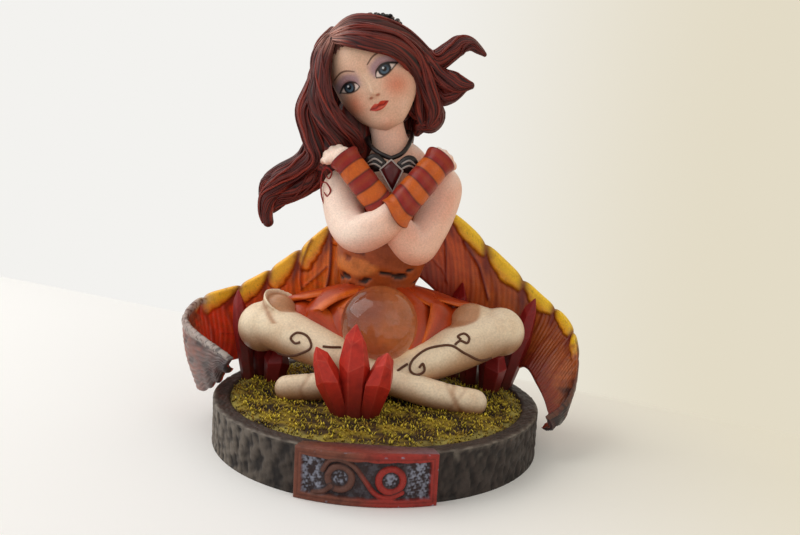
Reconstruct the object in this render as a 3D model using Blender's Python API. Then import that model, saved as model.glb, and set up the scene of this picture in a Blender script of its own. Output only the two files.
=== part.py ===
# Fairy figurine: a painted resin casting on a round base, two glued wings and a glass ball
import math

import bmesh
import bpy
import numpy as np
from mathutils import Matrix, Vector
from mathutils.bvhtree import BVHTree

# Driving dimensions, in metres
BASE_RADIUS = 0.055
BASE_HEIGHT = 0.0144
BARK_DEPTH = 0.0009
RIM_WIDTH = 0.0055
RIM_CHAMFER = 0.0006
GRASS_DROP = 0.001
GRASS_SWELL = 0.0011

PLAQUE_WIDTH = 0.0385
PLAQUE_STAND = 0.002
PLAQUE_FRAME = 0.0022
PLAQUE_RECESS = 0.0012
RING_RADIUS = 0.0032
RING_SPACING = 0.0134
RING_WIRE = 0.0009
SWEEP_WIRE = 0.0006
# Share of its own radius by which a wire's middle stands over the field
WIRE_STAND = 0.45
PLAQUE_SLOPE = 0.0003
PLAQUE_ROOT = 0.003

BALL_DIAMETER = 0.026
BALL_OFFSET_X = -0.0003
BALL_OFFSET_Y = -0.004
BALL_LIFT = 0.0256

CRYSTAL_WIDTH = 0.0088
CRYSTAL_TIP = 0.3

WING_THICKNESS = 0.0018
WING_VEIN = 0.0005
WING_LOBE = 0.0009
WING_EDGE = 0.55
WING_BOW = 0.0022
TONGUE_DEPTH = 0.006
TONGUE_HEIGHT = 0.012
TONGUE_THICKNESS = 0.003
# Length of the tongue that lies inside the wing itself
TONGUE_ROOT = 0.001

# Gap left between the casting and what is set into it
SEAT_GAP = 0.0003

# The modelled forms are fused at this grain, then thinned to about this many facets
CLAY_VOXEL = 0.0006
CLAY_FACETS = 4800

WELD = 0.000010

MM = 0.001
SEAT_Z = BASE_HEIGHT - GRASS_DROP

# Figure points below are in millimetres, measured from the middle of the grass:
# x to the viewer's right, y away from the viewer, z up.
HEAD_AT = (-7.6, 9.8, 109.6)
HEAD_TILT = math.radians(-28.5)
HEAD_TURN = math.radians(-10.0)
HEAD_NOD = math.radians(9.0)

# Rise of the lip between two gauntlet bands, in millimetres
GAUNTLET_LIP = 0.8

PAINTS = {
    "skin": ((0.82, 0.52, 0.42), 0.5),
    "hair": ((0.13, 0.022, 0.018), 0.45),
    "corset": ((0.42, 0.13, 0.03), 0.5),
    "petal": ((0.75, 0.16, 0.02), 0.4),
    "gauntlet": ((0.5, 0.06, 0.015), 0.3),
    "boot": ((0.72, 0.63, 0.46), 0.4),
    "jewel": ((0.02, 0.012, 0.015), 0.3),
    "crystal": ((0.55, 0.03, 0.02), 0.35),
    "stone": ((0.05, 0.042, 0.04), 0.7),
    "grass": ((0.2, 0.22, 0.02), 0.8),
    "plaque": ((0.22, 0.03, 0.018), 0.5),
}
PAINT_NAMES = list(PAINTS)


def clear_scene():
    for obj in list(bpy.data.objects):
        bpy.data.objects.remove(obj, do_unlink=True)


def make_material(name, color, roughness, transmission=0.0):
    material = bpy.data.materials.new(name)
    material.use_nodes = True
    shader = material.node_tree.nodes["Principled BSDF"]
    shader.inputs["Base Color"].default_value = (*color, 1.0)
    shader.inputs["Roughness"].default_value = roughness
    shader.inputs["Metallic"].default_value = 0.0
    shader.inputs["Transmission Weight"].default_value = transmission
    material.diffuse_color = (*color, 1.0)
    return material


def add_paints(obj):
    # Every piece of the casting carries the whole set, so that joins keep each face's paint
    for name in PAINT_NAMES:
        obj.data.materials.append(bpy.data.materials[name])


def spline(stations, per_span):
    # Catmull-Rom curve through the stations; every column is carried along
    pts = np.array(stations, float)
    last = len(pts) - 1
    rows = []
    for i in range(last):
        p0 = pts[max(i - 1, 0)]
        p1 = pts[i]
        p2 = pts[i + 1]
        p3 = pts[min(i + 2, last)]
        for k in range(per_span):
            t = k / per_span
            linear = (p2 - p0) * t
            square = (2 * p0 - 5 * p1 + 4 * p2 - p3) * t ** 2
            cube = (3 * p1 - p0 - 3 * p2 + p3) * t ** 3
            rows.append(0.5 * (2 * p1 + linear + square + cube))
    rows.append(pts[-1])
    return np.array(rows)


def skin_rings(bm, rings, paint, closed_ends=True):
    # Bridges rings of equal length and closes both ends with a fan
    loops = [[bm.verts.new(Vector(p) * MM) for p in ring] for ring in rings]
    count = len(loops[0])
    index = PAINT_NAMES.index(paint)
    made = []
    for low, high in zip(loops, loops[1:]):
        for k in range(count):
            after = (k + 1) % count
            made.append(bm.faces.new((low[k], low[after], high[after], high[k])))
    if closed_ends:
        for loop in (loops[0], loops[-1]):
            centre = sum((v.co for v in loop), Vector()) / count
            hub = bm.verts.new(centre)
            for k in range(count):
                made.append(bm.faces.new((loop[k], loop[(k + 1) % count], hub)))
    for face in made:
        face.material_index = index
        face.smooth = True


def loft(bm, paint, stations, out=(0, -1, 0), around=None, sides=12, per_span=3, ridges=0, ridge=0.12):
    # Stations are (x, y, z, half width, half depth); depth lies along out, or away from around
    rows = spline(stations, per_span)
    rows[:, 3:] = np.maximum(rows[:, 3:], 0.25)
    centre = rows[:, :3]
    tangent = np.gradient(centre, axis=0)
    tangent /= np.linalg.norm(tangent, axis=1)[:, None]
    rings = []
    for i, row in enumerate(rows):
        facing = np.array(out, float)
        if around is not None:
            facing = centre[i] - np.array(around, float)
        side = np.cross(tangent[i], facing)
        side /= np.linalg.norm(side)
        front = np.cross(side, tangent[i])
        steps = [(0.0, 1.0)]
        reach = min(row[3], row[4])
        if i == 0:
            steps = [(-0.9, 0.35), (-0.6, 0.75), (0.0, 1.0)]
        if i == len(rows) - 1:
            steps = [(0.0, 1.0), (0.6, 0.75), (0.9, 0.35)]
        for along, shrink in steps:
            ring = []
            for k in range(sides):
                a = 2 * math.pi * k / sides
                swell = 1 + ridge * math.cos(ridges * a) if ridges else 1
                place = centre[i] + tangent[i] * along * reach
                place = place + side * row[3] * shrink * swell * math.cos(a)
                place = place + front * row[4] * shrink * swell * math.sin(a)
                ring.append(place)
            rings.append(ring)
    skin_rings(bm, rings, paint)


def blob(bm, paint, centre, radii, turn=None):
    matrix = Matrix.Translation(Vector(centre) * MM)
    if turn is not None:
        matrix = matrix @ turn.to_4x4()
    matrix = matrix @ Matrix.Diagonal((*(Vector(radii) * MM), 1.0))
    made = bmesh.ops.create_uvsphere(bm, u_segments=20, v_segments=12, radius=1.0, matrix=matrix)
    index = PAINT_NAMES.index(paint)
    for vert in made["verts"]:
        for face in vert.link_faces:
            face.material_index = index


def turned(bm, paint, centre, axis, side, profile, stretch=1.0, sides=20):
    # A profile of (offset, radius) pairs spun round an axis, stretched towards side
    up = Vector(axis).normalized()
    across = (Vector(side) - up * up.dot(Vector(side))).normalized()
    along = up.cross(across)
    rings = []
    for offset, radius in profile:
        ring = []
        for k in range(sides):
            a = 2 * math.pi * k / sides
            spoke = across * radius * stretch * math.cos(a) + along * radius * math.sin(a)
            ring.append(Vector(centre) + up * offset + spoke)
        rings.append(ring)
    skin_rings(bm, rings, paint)


def head_frame():
    turn = Matrix.Rotation(HEAD_TILT, 3, "Y") @ Matrix.Rotation(HEAD_TURN, 3, "Z")
    return turn @ Matrix.Rotation(HEAD_NOD, 3, "X")


# Head sections from chin to crown: height over the eyes, half width, front and back reach
HEAD_SECTIONS = [
    (-18.2, 3.0, 10.6, -6.0),
    (-17.0, 4.8, 11.6, -3.5),
    (-15.0, 7.0, 12.3, 0.5),
    (-12.0, 9.6, 12.5, 6.0),
    (-8.0, 12.0, 12.6, 11.5),
    (-4.0, 13.3, 12.5, 14.5),
    (0.0, 13.9, 12.7, 16.0),
    (5.0, 14.0, 13.0, 16.5),
    (10.4, 12.4, 11.2, 14.6),
    (14.2, 9.8, 7.6, 11.4),
    (16.6, 6.4, 4.2, 8.0),
    (18.0, 3.0, 1.2, 4.2),
]

# Relief over the face: sideways, height, spread sideways, spread in height, rise
FACE_RELIEF = [
    (0.0, -6.0, 1.5, 1.5, 2.5),
    (0.0, -3.2, 1.0, 2.6, 1.2),
    (1.7, -6.8, 1.0, 0.9, 0.8),
    (-1.7, -6.8, 1.0, 0.9, 0.8),
    (6.6, 0.4, 3.0, 2.0, -1.2),
    (-6.6, 0.4, 3.0, 2.0, -1.2),
    (6.6, 0.0, 1.9, 1.3, 0.8),
    (-6.6, 0.0, 1.9, 1.3, 0.8),
    (0.0, -9.5, 2.2, 0.6, 0.9),
    (0.0, -11.0, 1.8, 0.7, 1.0),
    (0.0, -12.9, 2.6, 0.6, -0.4),
    (0.0, -16.0, 2.6, 1.8, 0.7),
    (6.6, -6.5, 3.4, 2.6, 0.6),
    (-6.6, -6.5, 3.4, 2.6, 0.6),
]


def face_relief(x, z):
    rise = 0.0
    for mid_x, mid_z, wide, high, lift in FACE_RELIEF:
        rise += lift * math.exp(-((x - mid_x) / wide) ** 2 - ((z - mid_z) / high) ** 2)
    return rise


def add_head(bm):
    turn = head_frame()
    rows = spline(HEAD_SECTIONS, 5)
    sides = 56
    rings = []
    for height, wide, front, rear in rows:
        ring = []
        for k in range(sides):
            a = 2 * math.pi * k / sides
            x = wide * math.cos(a)
            middle = (rear - front) / 2
            y = middle + (rear + front) / 2 * math.sin(a)
            if math.sin(a) < 0:
                y -= face_relief(x, height) * min(1.0, -2.0 * math.sin(a))
            ring.append(Vector(HEAD_AT) + turn @ Vector((x, y, height)))
        rings.append(ring)
    skin_rings(bm, rings, "skin")
    ear = Vector(HEAD_AT) + turn @ Vector((13.6, 3.0, -3.0))
    blob(bm, "skin", ear, (1.4, 2.4, 3.8), turn)


def add_torso(bm):
    loft(bm, "corset", [
        (-2.0, 16.0, 1.0, 18.0, 12.0),
        (-2.2, 16.5, 12.0, 18.5, 13.0),
        (-2.5, 16.5, 25.0, 17.0, 11.5),
        (-2.6, 16.5, 34.5, 13.8, 9.8),
        (-2.0, 15.0, 43.5, 15.4, 10.2),
        (-0.6, 13.0, 54.0, 16.8, 11.0),
        (0.4, 12.0, 64.5, 17.0, 10.5),
    ], sides=24)
    loft(bm, "skin", [
        (0.3, 12.0, 62.0, 16.0, 9.6),
        (0.6, 12.0, 70.0, 17.0, 9.0),
        (0.8, 12.2, 76.0, 16.0, 8.0),
        (0.6, 12.0, 81.0, 9.5, 6.6),
        (-0.4, 11.0, 86.0, 6.4, 6.0),
        (-1.6, 10.0, 91.0, 6.0, 6.0),
        (-3.6, 10.5, 98.0, 6.6, 6.4),
    ], sides=20)


def add_arm(bm, stations):
    loft(bm, "skin", stations, out=(0.3, -1, 0), sides=14, per_span=4)


def add_arms(bm):
    add_arm(bm, [
        (-15.5, 12.0, 74.5, 5.0, 5.0),
        (-16.4, 9.0, 70.0, 7.0, 6.4),
        (-15.0, 3.5, 64.0, 7.0, 6.2),
        (-12.6, -2.5, 58.4, 6.6, 6.2),
        (-9.0, -7.5, 55.8, 6.3, 6.2),
        (-4.6, -10.6, 57.2, 6.2, 6.0),
        (0.0, -12.0, 60.0, 5.4, 5.2),
        (5.6, -10.8, 66.5, 4.2, 4.0),
        (12.0, -6.4, 75.5, 3.6, 3.4),
        (16.5, -3.5, 81.5, 3.4, 3.0),
    ])
    add_arm(bm, [
        (16.5, 12.0, 76.0, 5.0, 5.0),
        (18.2, 9.0, 72.0, 6.3, 6.2),
        (17.0, 4.0, 65.0, 6.6, 6.0),
        (14.0, -1.5, 57.4, 6.3, 6.0),
        (10.4, -5.0, 52.2, 6.1, 6.0),
        (5.6, -6.4, 56.2, 5.6, 5.4),
        (1.5, -6.2, 62.0, 4.9, 4.7),
        (-5.0, -5.6, 69.0, 4.2, 4.0),
        (-11.0, -4.5, 76.0, 3.7, 3.5),
        (-15.5, -2.8, 81.0, 3.3, 3.0),
    ])


def gauntlet_stations(lower, upper, radii, bands):
    # Bands step down in turn, with a raised lip where two of them meet
    stations = []
    for i in range(bands + 1):
        t = i / bands
        middle = [lower[k] + (upper[k] - lower[k]) * t for k in range(3)]
        radius = radii[0] + (radii[1] - radii[0]) * t + (radii[2] if i in (0, bands) else 0)
        stations.append((*middle, radius + GAUNTLET_LIP, radius + GAUNTLET_LIP))
        if i < bands:
            for part in (0.25, 0.75):
                between = [middle[k] + (upper[k] - lower[k]) * part / bands for k in range(3)]
                stations.append((*between, radius, radius))
    return stations


def add_gauntlets(bm):
    near = gauntlet_stations((3.2, -12.2, 63.4), (17.0, -4.0, 81.8), (5.0, 4.6, 0.5), 6)
    far = gauntlet_stations((-1.0, -6.6, 64.6), (-15.2, -3.2, 80.8), (4.9, 4.4, 0.4), 5)
    loft(bm, "gauntlet", near, sides=16, per_span=1)
    loft(bm, "gauntlet", far, sides=16, per_span=1)


def add_hands(bm):
    blob(bm, "skin", (17.6, 0.8, 80.8), (3.6, 3.6, 3.8))
    for tip, knuckle in [
        ((16.0, 6.5, 84.4), (16.2, 0.5, 84.2)),
        ((18.2, 6.5, 83.8), (18.2, 0.5, 83.4)),
        ((20.2, 6.5, 82.2), (20.0, 0.5, 81.8)),
        ((21.4, 6.5, 80.0), (21.2, 0.5, 79.6)),
    ]:
        loft(bm, "skin", [(*knuckle, 1.5, 1.5), (*tip, 1.2, 1.2)], out=(0, 0, 1), sides=8)
    blob(bm, "skin", (-16.8, -0.2, 80.6), (3.8, 3.4, 3.4))
    for tip, knuckle in [
        ((-18.0, 7.0, 84.4), (-17.0, 1.5, 83.4)),
        ((-20.4, 6.5, 83.2), (-19.0, 1.0, 82.4)),
        ((-22.2, 5.5, 81.4), (-20.4, 0.5, 81.0)),
        ((-22.8, 4.5, 79.2), (-20.8, 0.0, 79.2)),
    ]:
        loft(bm, "skin", [(*knuckle, 1.5, 1.5), (*tip, 1.2, 1.2)], out=(0, 0, 1), sides=8)


def add_legs(bm):
    # Each shin runs from its knee across the other one, and ends in a pointed foot
    blob(bm, "boot", (-41.7, 4.5, 20.6), (8.4, 8.4, 8.8))
    loft(bm, "boot", [
        (-42.0, 4.5, 21.0, 7.6, 8.2),
        (-34.6, 2.4, 20.2, 7.8, 8.6),
        (-27.0, -0.6, 18.0, 7.4, 8.2),
        (-13.0, -5.5, 14.0, 6.2, 6.6),
        (4.0, -9.5, 8.6, 5.2, 5.4),
        (16.0, -12.0, 5.6, 4.8, 4.9),
        (25.0, -13.8, 4.4, 4.5, 4.4),
        (32.4, -15.2, 3.8, 4.3, 3.9),
    ], sides=16, per_span=4)
    blob(bm, "boot", (41.6, 4.5, 23.6), (8.6, 8.4, 8.6))
    loft(bm, "boot", [
        (41.6, 4.5, 23.6, 7.6, 8.2),
        (34.6, 2.4, 21.2, 8.0, 8.6),
        (27.0, -0.5, 18.2, 8.0, 8.4),
        (14.0, -5.5, 12.6, 6.4, 6.8),
        (-2.0, -8.0, 7.6, 5.2, 5.4),
        (-18.0, -10.4, 4.8, 4.8, 4.6),
        (-29.6, -11.6, 3.8, 4.3, 3.9),
    ], sides=16, per_span=4)
    # The boot tops flare open where the thighs enter them; the cuff's rim folds back inside
    loft(bm, "boot", [(-41.0, 6.0, 21.0, 8.0, 7.6), (-36.5, 6.2, 25.5, 6.6, 6.6)], sides=16)
    loft(bm, "boot", [(39.0, 6.0, 23.0, 8.0, 7.6), (31.0, 5.6, 25.5, 7.6, 7.0)], sides=16)
    cuff = [(-6.0, 5.6), (-2.6, 6.2), (0.0, 7.1), (0.9, 7.2), (0.9, 6.6), (-1.6, 5.2), (-3.0, 3.0)]
    turned(bm, "boot", (-34.8, 5.0, 29.0), (0.47, -0.30, 0.83), (0.83, 0, -0.5), cuff, 1.05)
    turned(bm, "boot", (28.0, 5.0, 26.6), (-0.42, -0.28, 0.86), (0.86, 0, 0.5), cuff, 1.35)


def add_skirt(bm):
    # Orange petals wrap the hips, and thighs under them lead out to the boot tops
    for side, drop in ((-1, 1.0), (1, 0.0)):
        loft(bm, "petal", [
            (side * 4.0, 14.0, 15.0, 9.0, 9.0),
            (side * 13.0, 13.0, 18.0, 9.0, 9.0),
            (side * 22.0, 11.5, 22.0 - drop, 7.6, 7.8),
            (side * 28.0, 9.5, 24.5 - drop, 6.4, 6.6),
        ], sides=16)
    for spine in [
        [(-8, 9, 36, 3.0), (-18, 6, 33, 4.6), (-24, 3, 27, 4.0), (-19, 0, 23, 3.2), (-12, -5, 18, 1.0)],
        [(-9, 7, 35, 3.0), (-16.5, 4, 29, 4.4), (-15.4, 0, 24.6, 4.0), (-12, -5, 17, 1.0)],
        [(-9, 15, 36, 3.0), (-20, 14, 33, 4.6), (-29, 11, 31, 4.0), (-33, 9, 30, 1.0)],
        [(6, 10, 36, 3.0), (15, 7, 31, 4.6), (15.5, 0, 24, 4.4), (11, -5, 18, 1.0)],
        [(8, 12, 36, 3.0), (20.4, 9, 31.4, 4.6), (21.5, 3, 27, 4.4), (15, -4, 18.8, 1.0)],
        [(8, 17, 36, 3.0), (20, 15, 33, 4.6), (28, 12, 31.4, 4.0), (33, 10, 31, 1.0)],
    ]:
        stations = [(x, y, z, wide, 1.3) for x, y, z, wide in spine]
        loft(bm, "petal", stations, around=(0.0, 20.0, 5.0), sides=12)
    blob(bm, "petal", (-1.5, 6.0, 9.0), (15.0, 12.0, 9.5))


# Locks of hair, each a run of (x, y, z, half width, half depth)
HAIR_LOCKS = [
    [(-20.5, 1, 118.8, 1.5, 1.2), (-14.8, -3.2, 117.2, 3.0, 1.6), (-7.5, -5.2, 115.6, 3.2, 1.6),
     (-0.4, -2.4, 115, 3.2, 1.8), (4.9, 3.6, 111.7, 3.4, 2.0), (7.0, 8, 105.2, 3.0, 2.0),
     (8.1, 10, 98.1, 2.6, 2.0), (9.6, 10, 92.7, 1.0, 1.0)],
    [(-21.1, 2, 120.3, 1.5, 1.2), (-14.5, -1.2, 121.2, 3.0, 1.8), (-6.6, -2.2, 120.4, 3.4, 2.0),
     (1.3, 0.8, 118.7, 3.4, 2.2), (7.6, 6, 114.2, 3.4, 2.6), (11.5, 8, 106.1, 3.4, 3.0),
     (13.7, 9, 99, 3.0, 2.6), (12.3, 9, 93.5, 1.0, 1.0)],
    [(-21, 4, 121.7, 1.5, 1.2), (-14.7, 3, 124.7, 3.2, 2.0), (-6.4, 3, 124.2, 3.6, 2.2),
     (1.7, 6, 121.8, 3.8, 2.4), (8.9, 9, 116.2, 3.8, 3.2), (14.4, 10, 110.8, 3.6, 3.2),
     (20.6, 9, 108.2, 3.6, 3.0), (26.2, 7.5, 107.6, 1.2, 1.1)],
    [(-20.2, 8, 123.0, 1.5, 1.2), (-14.4, 9, 126.4, 3.4, 2.0), (-6.2, 10, 126.8, 3.8, 2.2),
     (2.2, 11, 123.6, 4.0, 2.6), (9.1, 11, 118.4, 3.8, 3.0), (14.4, 10, 116.2, 3.4, 2.8),
     (18.2, 9, 119.0, 3.2, 2.6), (22.2, 9, 121.0, 3.1, 2.4), (26.4, 9, 120.2, 2.0, 1.7),
     (30.0, 9, 119.8, 0.8, 0.8)],
    [(4.7, 12, 110.9, 3.0, 3.0), (10.3, 12, 105.5, 3.6, 3.0), (16, 11.5, 104.0, 3.3, 2.8),
     (20.2, 10, 104.6, 2.8, 2.4), (24.3, 8, 106.6, 1.0, 1.0)],
    [(4.3, 14, 106.1, 3.0, 3.0), (8.2, 14, 101.0, 4.2, 3.4), (14.0, 13, 98.6, 4.2, 3.2),
     (13.6, 11.5, 94.4, 3.0, 2.6), (9.0, 10, 93.0, 1.2, 1.2)],
    [(-21.2, 1, 118.7, 1.5, 1.2), (-23.4, 0, 112.6, 2.6, 1.8), (-23.4, -0.6, 105.3, 2.8, 2.0),
     (-21.4, -0.6, 98, 2.8, 2.2), (-17.0, 1, 92.0, 2.8, 2.4), (-12.4, 3.5, 88, 2.8, 2.2),
     (-10.4, 6, 84.3, 1.6, 1.6)],
    [(-22.3, 4, 120.7, 1.5, 1.2), (-25.2, 4, 114.3, 3.0, 2.2), (-25.0, 3, 106.5, 3.0, 2.6),
     (-25.6, 2, 99.2, 3.2, 2.8), (-22.1, 3, 92.1, 3.4, 3.0), (-17.8, 5, 86.4, 3.4, 3.0),
     (-16.6, 8, 80.4, 2.4, 2.4)],
    [(-22.1, 9, 123.8, 1.5, 1.2), (-25.8, 10, 118.0, 3.2, 2.4), (-25.4, 9, 110.6, 3.4, 3.0),
     (-27.2, 8, 103.4, 3.6, 3.0), (-29.4, 7, 96.0, 3.6, 3.0), (-28.0, 7.5, 88.4, 3.6, 3.0),
     (-26.6, 8, 81.6, 3.4, 3.0), (-31.0, 9, 77.0, 3.6, 2.6), (-37.4, 9, 72.6, 3.6, 2.6),
     (-42.0, 9, 67.4, 3.4, 2.6), (-42.9, 9, 61.8, 2.9, 2.4), (-42.5, 9, 58.6, 2.2, 1.9)],
    [(-26.8, 12, 93.6, 3.0, 3.0), (-27.4, 12, 84.9, 3.4, 3.0), (-31.4, 12, 79.4, 3.0, 2.4),
     (-38.4, 11, 75.0, 2.8, 2.2), (-43.0, 10, 70.6, 2.4, 2.0), (-44.2, 9, 65.0, 1.2, 1.2)],
    [(-22.9, 14, 90.6, 3.4, 3.0), (-22.7, 14, 81.8, 3.8, 3.0), (-26.0, 13, 74.5, 3.8, 2.8),
     (-31.6, 12, 69.2, 3.6, 2.6), (-37.5, 11, 65.8, 3.0, 2.2), (-41.5, 10, 61.5, 1.6, 1.4)],
]

# Plain locks down the hidden back, from the crown to the shoulder blades
BACK_LOCKS = [
    [(-20, 16, 121, 3.0, 2.0), (-27, 20, 112, 4.6, 3.0), (-28, 22, 98, 4.8, 3.4),
     (-24, 22, 84, 4.4, 3.2), (-21.5, 20, 72, 3.4, 2.6), (-21.5, 19.5, 62, 1.2, 1.2)],
    [(-16, 20, 123, 3.0, 2.0), (-19, 26, 112, 5.0, 3.2), (-19, 27, 98, 5.2, 3.6),
     (-15, 26, 85, 4.6, 3.2), (-13, 25, 76, 1.6, 1.6)],
    [(-10, 22, 124, 3.0, 2.0), (-9, 28, 112, 5.0, 3.2), (-8, 28, 98, 5.2, 3.6),
     (-5, 26.5, 85, 4.6, 3.2), (-4, 25.5, 77, 1.6, 1.6)],
    [(-4, 20, 123, 3.0, 2.0), (2, 25, 112, 5.0, 3.2), (3, 26, 99, 5.0, 3.6),
     (3.4, 25, 87, 3.6, 3.0), (3, 24, 80, 1.4, 1.4)],
    [(0, 16, 122, 3.0, 2.0), (8, 19, 112, 4.6, 3.2), (10, 20, 100, 4.6, 3.4),
     (9.6, 19, 95.4, 3.6, 3.0), (8.6, 18, 92, 1.6, 1.6)],
]


def add_hair(bm):
    turn = head_frame()
    cap = Vector(HEAD_AT) + turn @ Vector((0.0, 4.0, 5.8))
    blob(bm, "hair", cap, (15.2, 15.0, 14.8), turn)
    nape = Vector(HEAD_AT) + turn @ Vector((-1.0, 8.5, -6.0))
    blob(bm, "hair", nape, (14.0, 10.0, 14.0), turn)
    blob(bm, "hair", (-21.5, 13.0, 84.0), (8.0, 7.0, 12.0))
    for lock in HAIR_LOCKS + BACK_LOCKS:
        loft(bm, "hair", lock, around=HEAD_AT, sides=14, per_span=4, ridges=5, ridge=0.14)


def add_jewellery(bm):
    loft(bm, "jewel", [
        (0.4, 0.6, 82.4, 0.8, 0.8),
        (-4.0, 2.4, 83.8, 0.8, 0.8),
        (-7.6, 6.0, 86.6, 0.8, 0.8),
        (-8.0, 11.0, 89.0, 0.8, 0.8),
        (-3.0, 16.8, 91.0, 0.8, 0.8),
        (3.4, 15.6, 91.6, 0.8, 0.8),
        (6.0, 10.0, 91.0, 0.8, 0.8),
        (5.4, 4.8, 87.0, 0.8, 0.8),
        (3.4, 1.6, 84.0, 0.8, 0.8),
        (0.4, 0.6, 82.4, 0.8, 0.8),
    ], sides=8)
    loft(bm, "jewel", [
        (0.5, 0.0, 82.0, 0.9, 1.4),
        (0.8, -1.0, 77.6, 4.2, 2.0),
        (1.8, -2.0, 69.4, 0.9, 1.4),
    ], sides=8, per_span=2)
    for side in (-1, 1):
        loft(bm, "jewel", [
            (0.8 + side * 3.0, 0.0, 78.6, 2.0, 1.3),
            (0.8 + side * 6.0, 0.2, 79.4, 3.2, 1.5),
            (0.8 + side * 8.6, 0.8, 78.4, 1.4, 1.2),
        ], sides=10)


def add_armlet(bm):
    loft(bm, "gauntlet", [
        (-22.4, 7.0, 75.0, 1.0, 1.4),
        (-23.4, 6.0, 70.0, 1.2, 1.4),
        (-22.6, 4.0, 66.0, 0.8, 1.0),
        (-20.4, 2.0, 62.0, 0.6, 0.8),
    ], out=(-1, -0.4, 0), sides=8)


def mesh_object(name, bm):
    bmesh.ops.recalc_face_normals(bm, faces=bm.faces)
    bmesh.ops.triangulate(bm, faces=bm.faces)
    mesh = bpy.data.meshes.new(name)
    bm.to_mesh(mesh)
    bm.free()
    obj = bpy.data.objects.new(name, mesh)
    bpy.context.scene.collection.objects.link(obj)
    return obj


def bake_modifiers(obj):
    # The evaluated mesh takes the place of the base mesh and its modifiers
    depsgraph = bpy.context.evaluated_depsgraph_get()
    mesh = bpy.data.meshes.new_from_object(obj.evaluated_get(depsgraph))
    obj.modifiers.clear()
    obj.data = mesh


def fill_pockets(obj):
    # A shell with a negative volume bounds a sealed pocket, which solid resin fills
    bm = bmesh.new()
    bm.from_mesh(obj.data)
    left = set(bm.verts)
    while left:
        shell = {left.pop()}
        edge = list(shell)
        while edge:
            vert = edge.pop()
            for link in vert.link_edges:
                other = link.other_vert(vert)
                if other in left:
                    left.discard(other)
                    shell.add(other)
                    edge.append(other)
        faces = {face for vert in shell for face in vert.link_faces}
        volume = 0.0
        for face in faces:
            volume += face.calc_center_median().dot(face.normal) * face.calc_area() / 3
        if volume <= 0.0:
            bmesh.ops.delete(bm, geom=list(shell), context="VERTS")
    bm.to_mesh(obj.data)
    bm.free()


def tidy_facets(obj):
    # Welds what the joins left a hair apart, then cuts every face into triangles
    bm = bmesh.new()
    bm.from_mesh(obj.data)
    bmesh.ops.remove_doubles(bm, verts=bm.verts, dist=WELD)
    bmesh.ops.dissolve_degenerate(bm, edges=bm.edges, dist=WELD)
    bmesh.ops.triangulate(bm, faces=bm.faces, ngon_method="EAR_CLIP")
    bm.to_mesh(obj.data)
    bm.free()


def repaint(obj, source_tree, source_paints):
    for polygon in obj.data.polygons:
        index = source_tree.find_nearest(polygon.center)[2]
        polygon.material_index = source_paints[index]
        polygon.use_smooth = True


def make_clay():
    # The modelled forms overlap, and the voxel remesh fuses them as clay is pressed together
    bm = bmesh.new()
    add_torso(bm)
    add_legs(bm)
    add_skirt(bm)
    add_arms(bm)
    add_hands(bm)
    add_gauntlets(bm)
    add_head(bm)
    add_hair(bm)
    add_jewellery(bm)
    add_armlet(bm)
    bmesh.ops.translate(bm, verts=bm.verts, vec=(0, 0, SEAT_Z))
    bmesh.ops.triangulate(bm, faces=bm.faces)
    bm.normal_update()
    tree = BVHTree.FromBMesh(bm)
    bm.faces.ensure_lookup_table()
    paints = [face.material_index for face in bm.faces]
    clay = mesh_object("clay", bm)
    remesh = clay.modifiers.new("Fuse", "REMESH")
    remesh.mode = "VOXEL"
    remesh.voxel_size = CLAY_VOXEL
    soften = clay.modifiers.new("Soften", "SMOOTH")
    soften.factor = 0.5
    soften.iterations = 2
    bake_modifiers(clay)
    fill_pockets(clay)
    thin = clay.modifiers.new("Thin", "DECIMATE")
    thin.ratio = CLAY_FACETS / (2 * len(clay.data.polygons))
    thin.use_collapse_triangulate = True
    bake_modifiers(clay)
    add_paints(clay)
    repaint(clay, tree, paints)
    return clay


def bark_radius(angle, level):
    # Shallow upright furrows round the side, deepest at mid height
    furrow = 0.5 + 0.3 * math.sin(17 * angle) + 0.2 * math.sin(29 * angle + 2.0 * level)
    return BASE_RADIUS - BARK_DEPTH * furrow * math.sin(math.pi * min(max(level, 0.0), 1.0))


def make_base():
    columns = 60
    bm = bmesh.new()
    side_levels = [0.0, 0.5]
    lip = RIM_CHAMFER / BASE_HEIGHT
    grass_radius = BASE_RADIUS - RIM_WIDTH
    rings = []
    for level in side_levels + [1.0 - lip]:
        rings.append([(bark_radius(2 * math.pi * k / columns, level), level * BASE_HEIGHT)
                      for k in range(columns)])
    rings.append([(BASE_RADIUS - RIM_CHAMFER, BASE_HEIGHT)] * columns)
    rings.append([(grass_radius + RIM_CHAMFER, BASE_HEIGHT)] * columns)
    rings.append([(grass_radius, SEAT_Z)] * columns)
    for share in (0.93, 0.78, 0.6, 0.42, 0.22):
        ring = []
        for k in range(columns):
            angle = 2 * math.pi * k / columns
            wave = math.sin(9 * angle + 20 * share) + math.sin(17 * angle - 11 * share)
            ring.append((grass_radius * share, SEAT_Z + GRASS_SWELL * 0.25 * (2 + wave)))
        rings.append(ring)
    loops = []
    for ring in rings:
        loop = []
        for k, (radius, height) in enumerate(ring):
            angle = 2 * math.pi * k / columns
            loop.append(bm.verts.new((radius * math.cos(angle), radius * math.sin(angle), height)))
        loops.append(loop)
    for row, (low, high) in enumerate(zip(loops, loops[1:])):
        paint = "stone" if row < len(side_levels) + 3 else "grass"
        for k in range(columns):
            after = (k + 1) % columns
            face = bm.faces.new((low[k], low[after], high[after], high[k]))
            face.material_index = PAINT_NAMES.index(paint)
    underside = bm.faces.new(list(reversed(loops[0])))
    underside.material_index = PAINT_NAMES.index("stone")
    middle = bm.faces.new(loops[-1])
    middle.material_index = PAINT_NAMES.index("grass")
    base = mesh_object("base", bm)
    add_paints(base)
    return base


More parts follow.
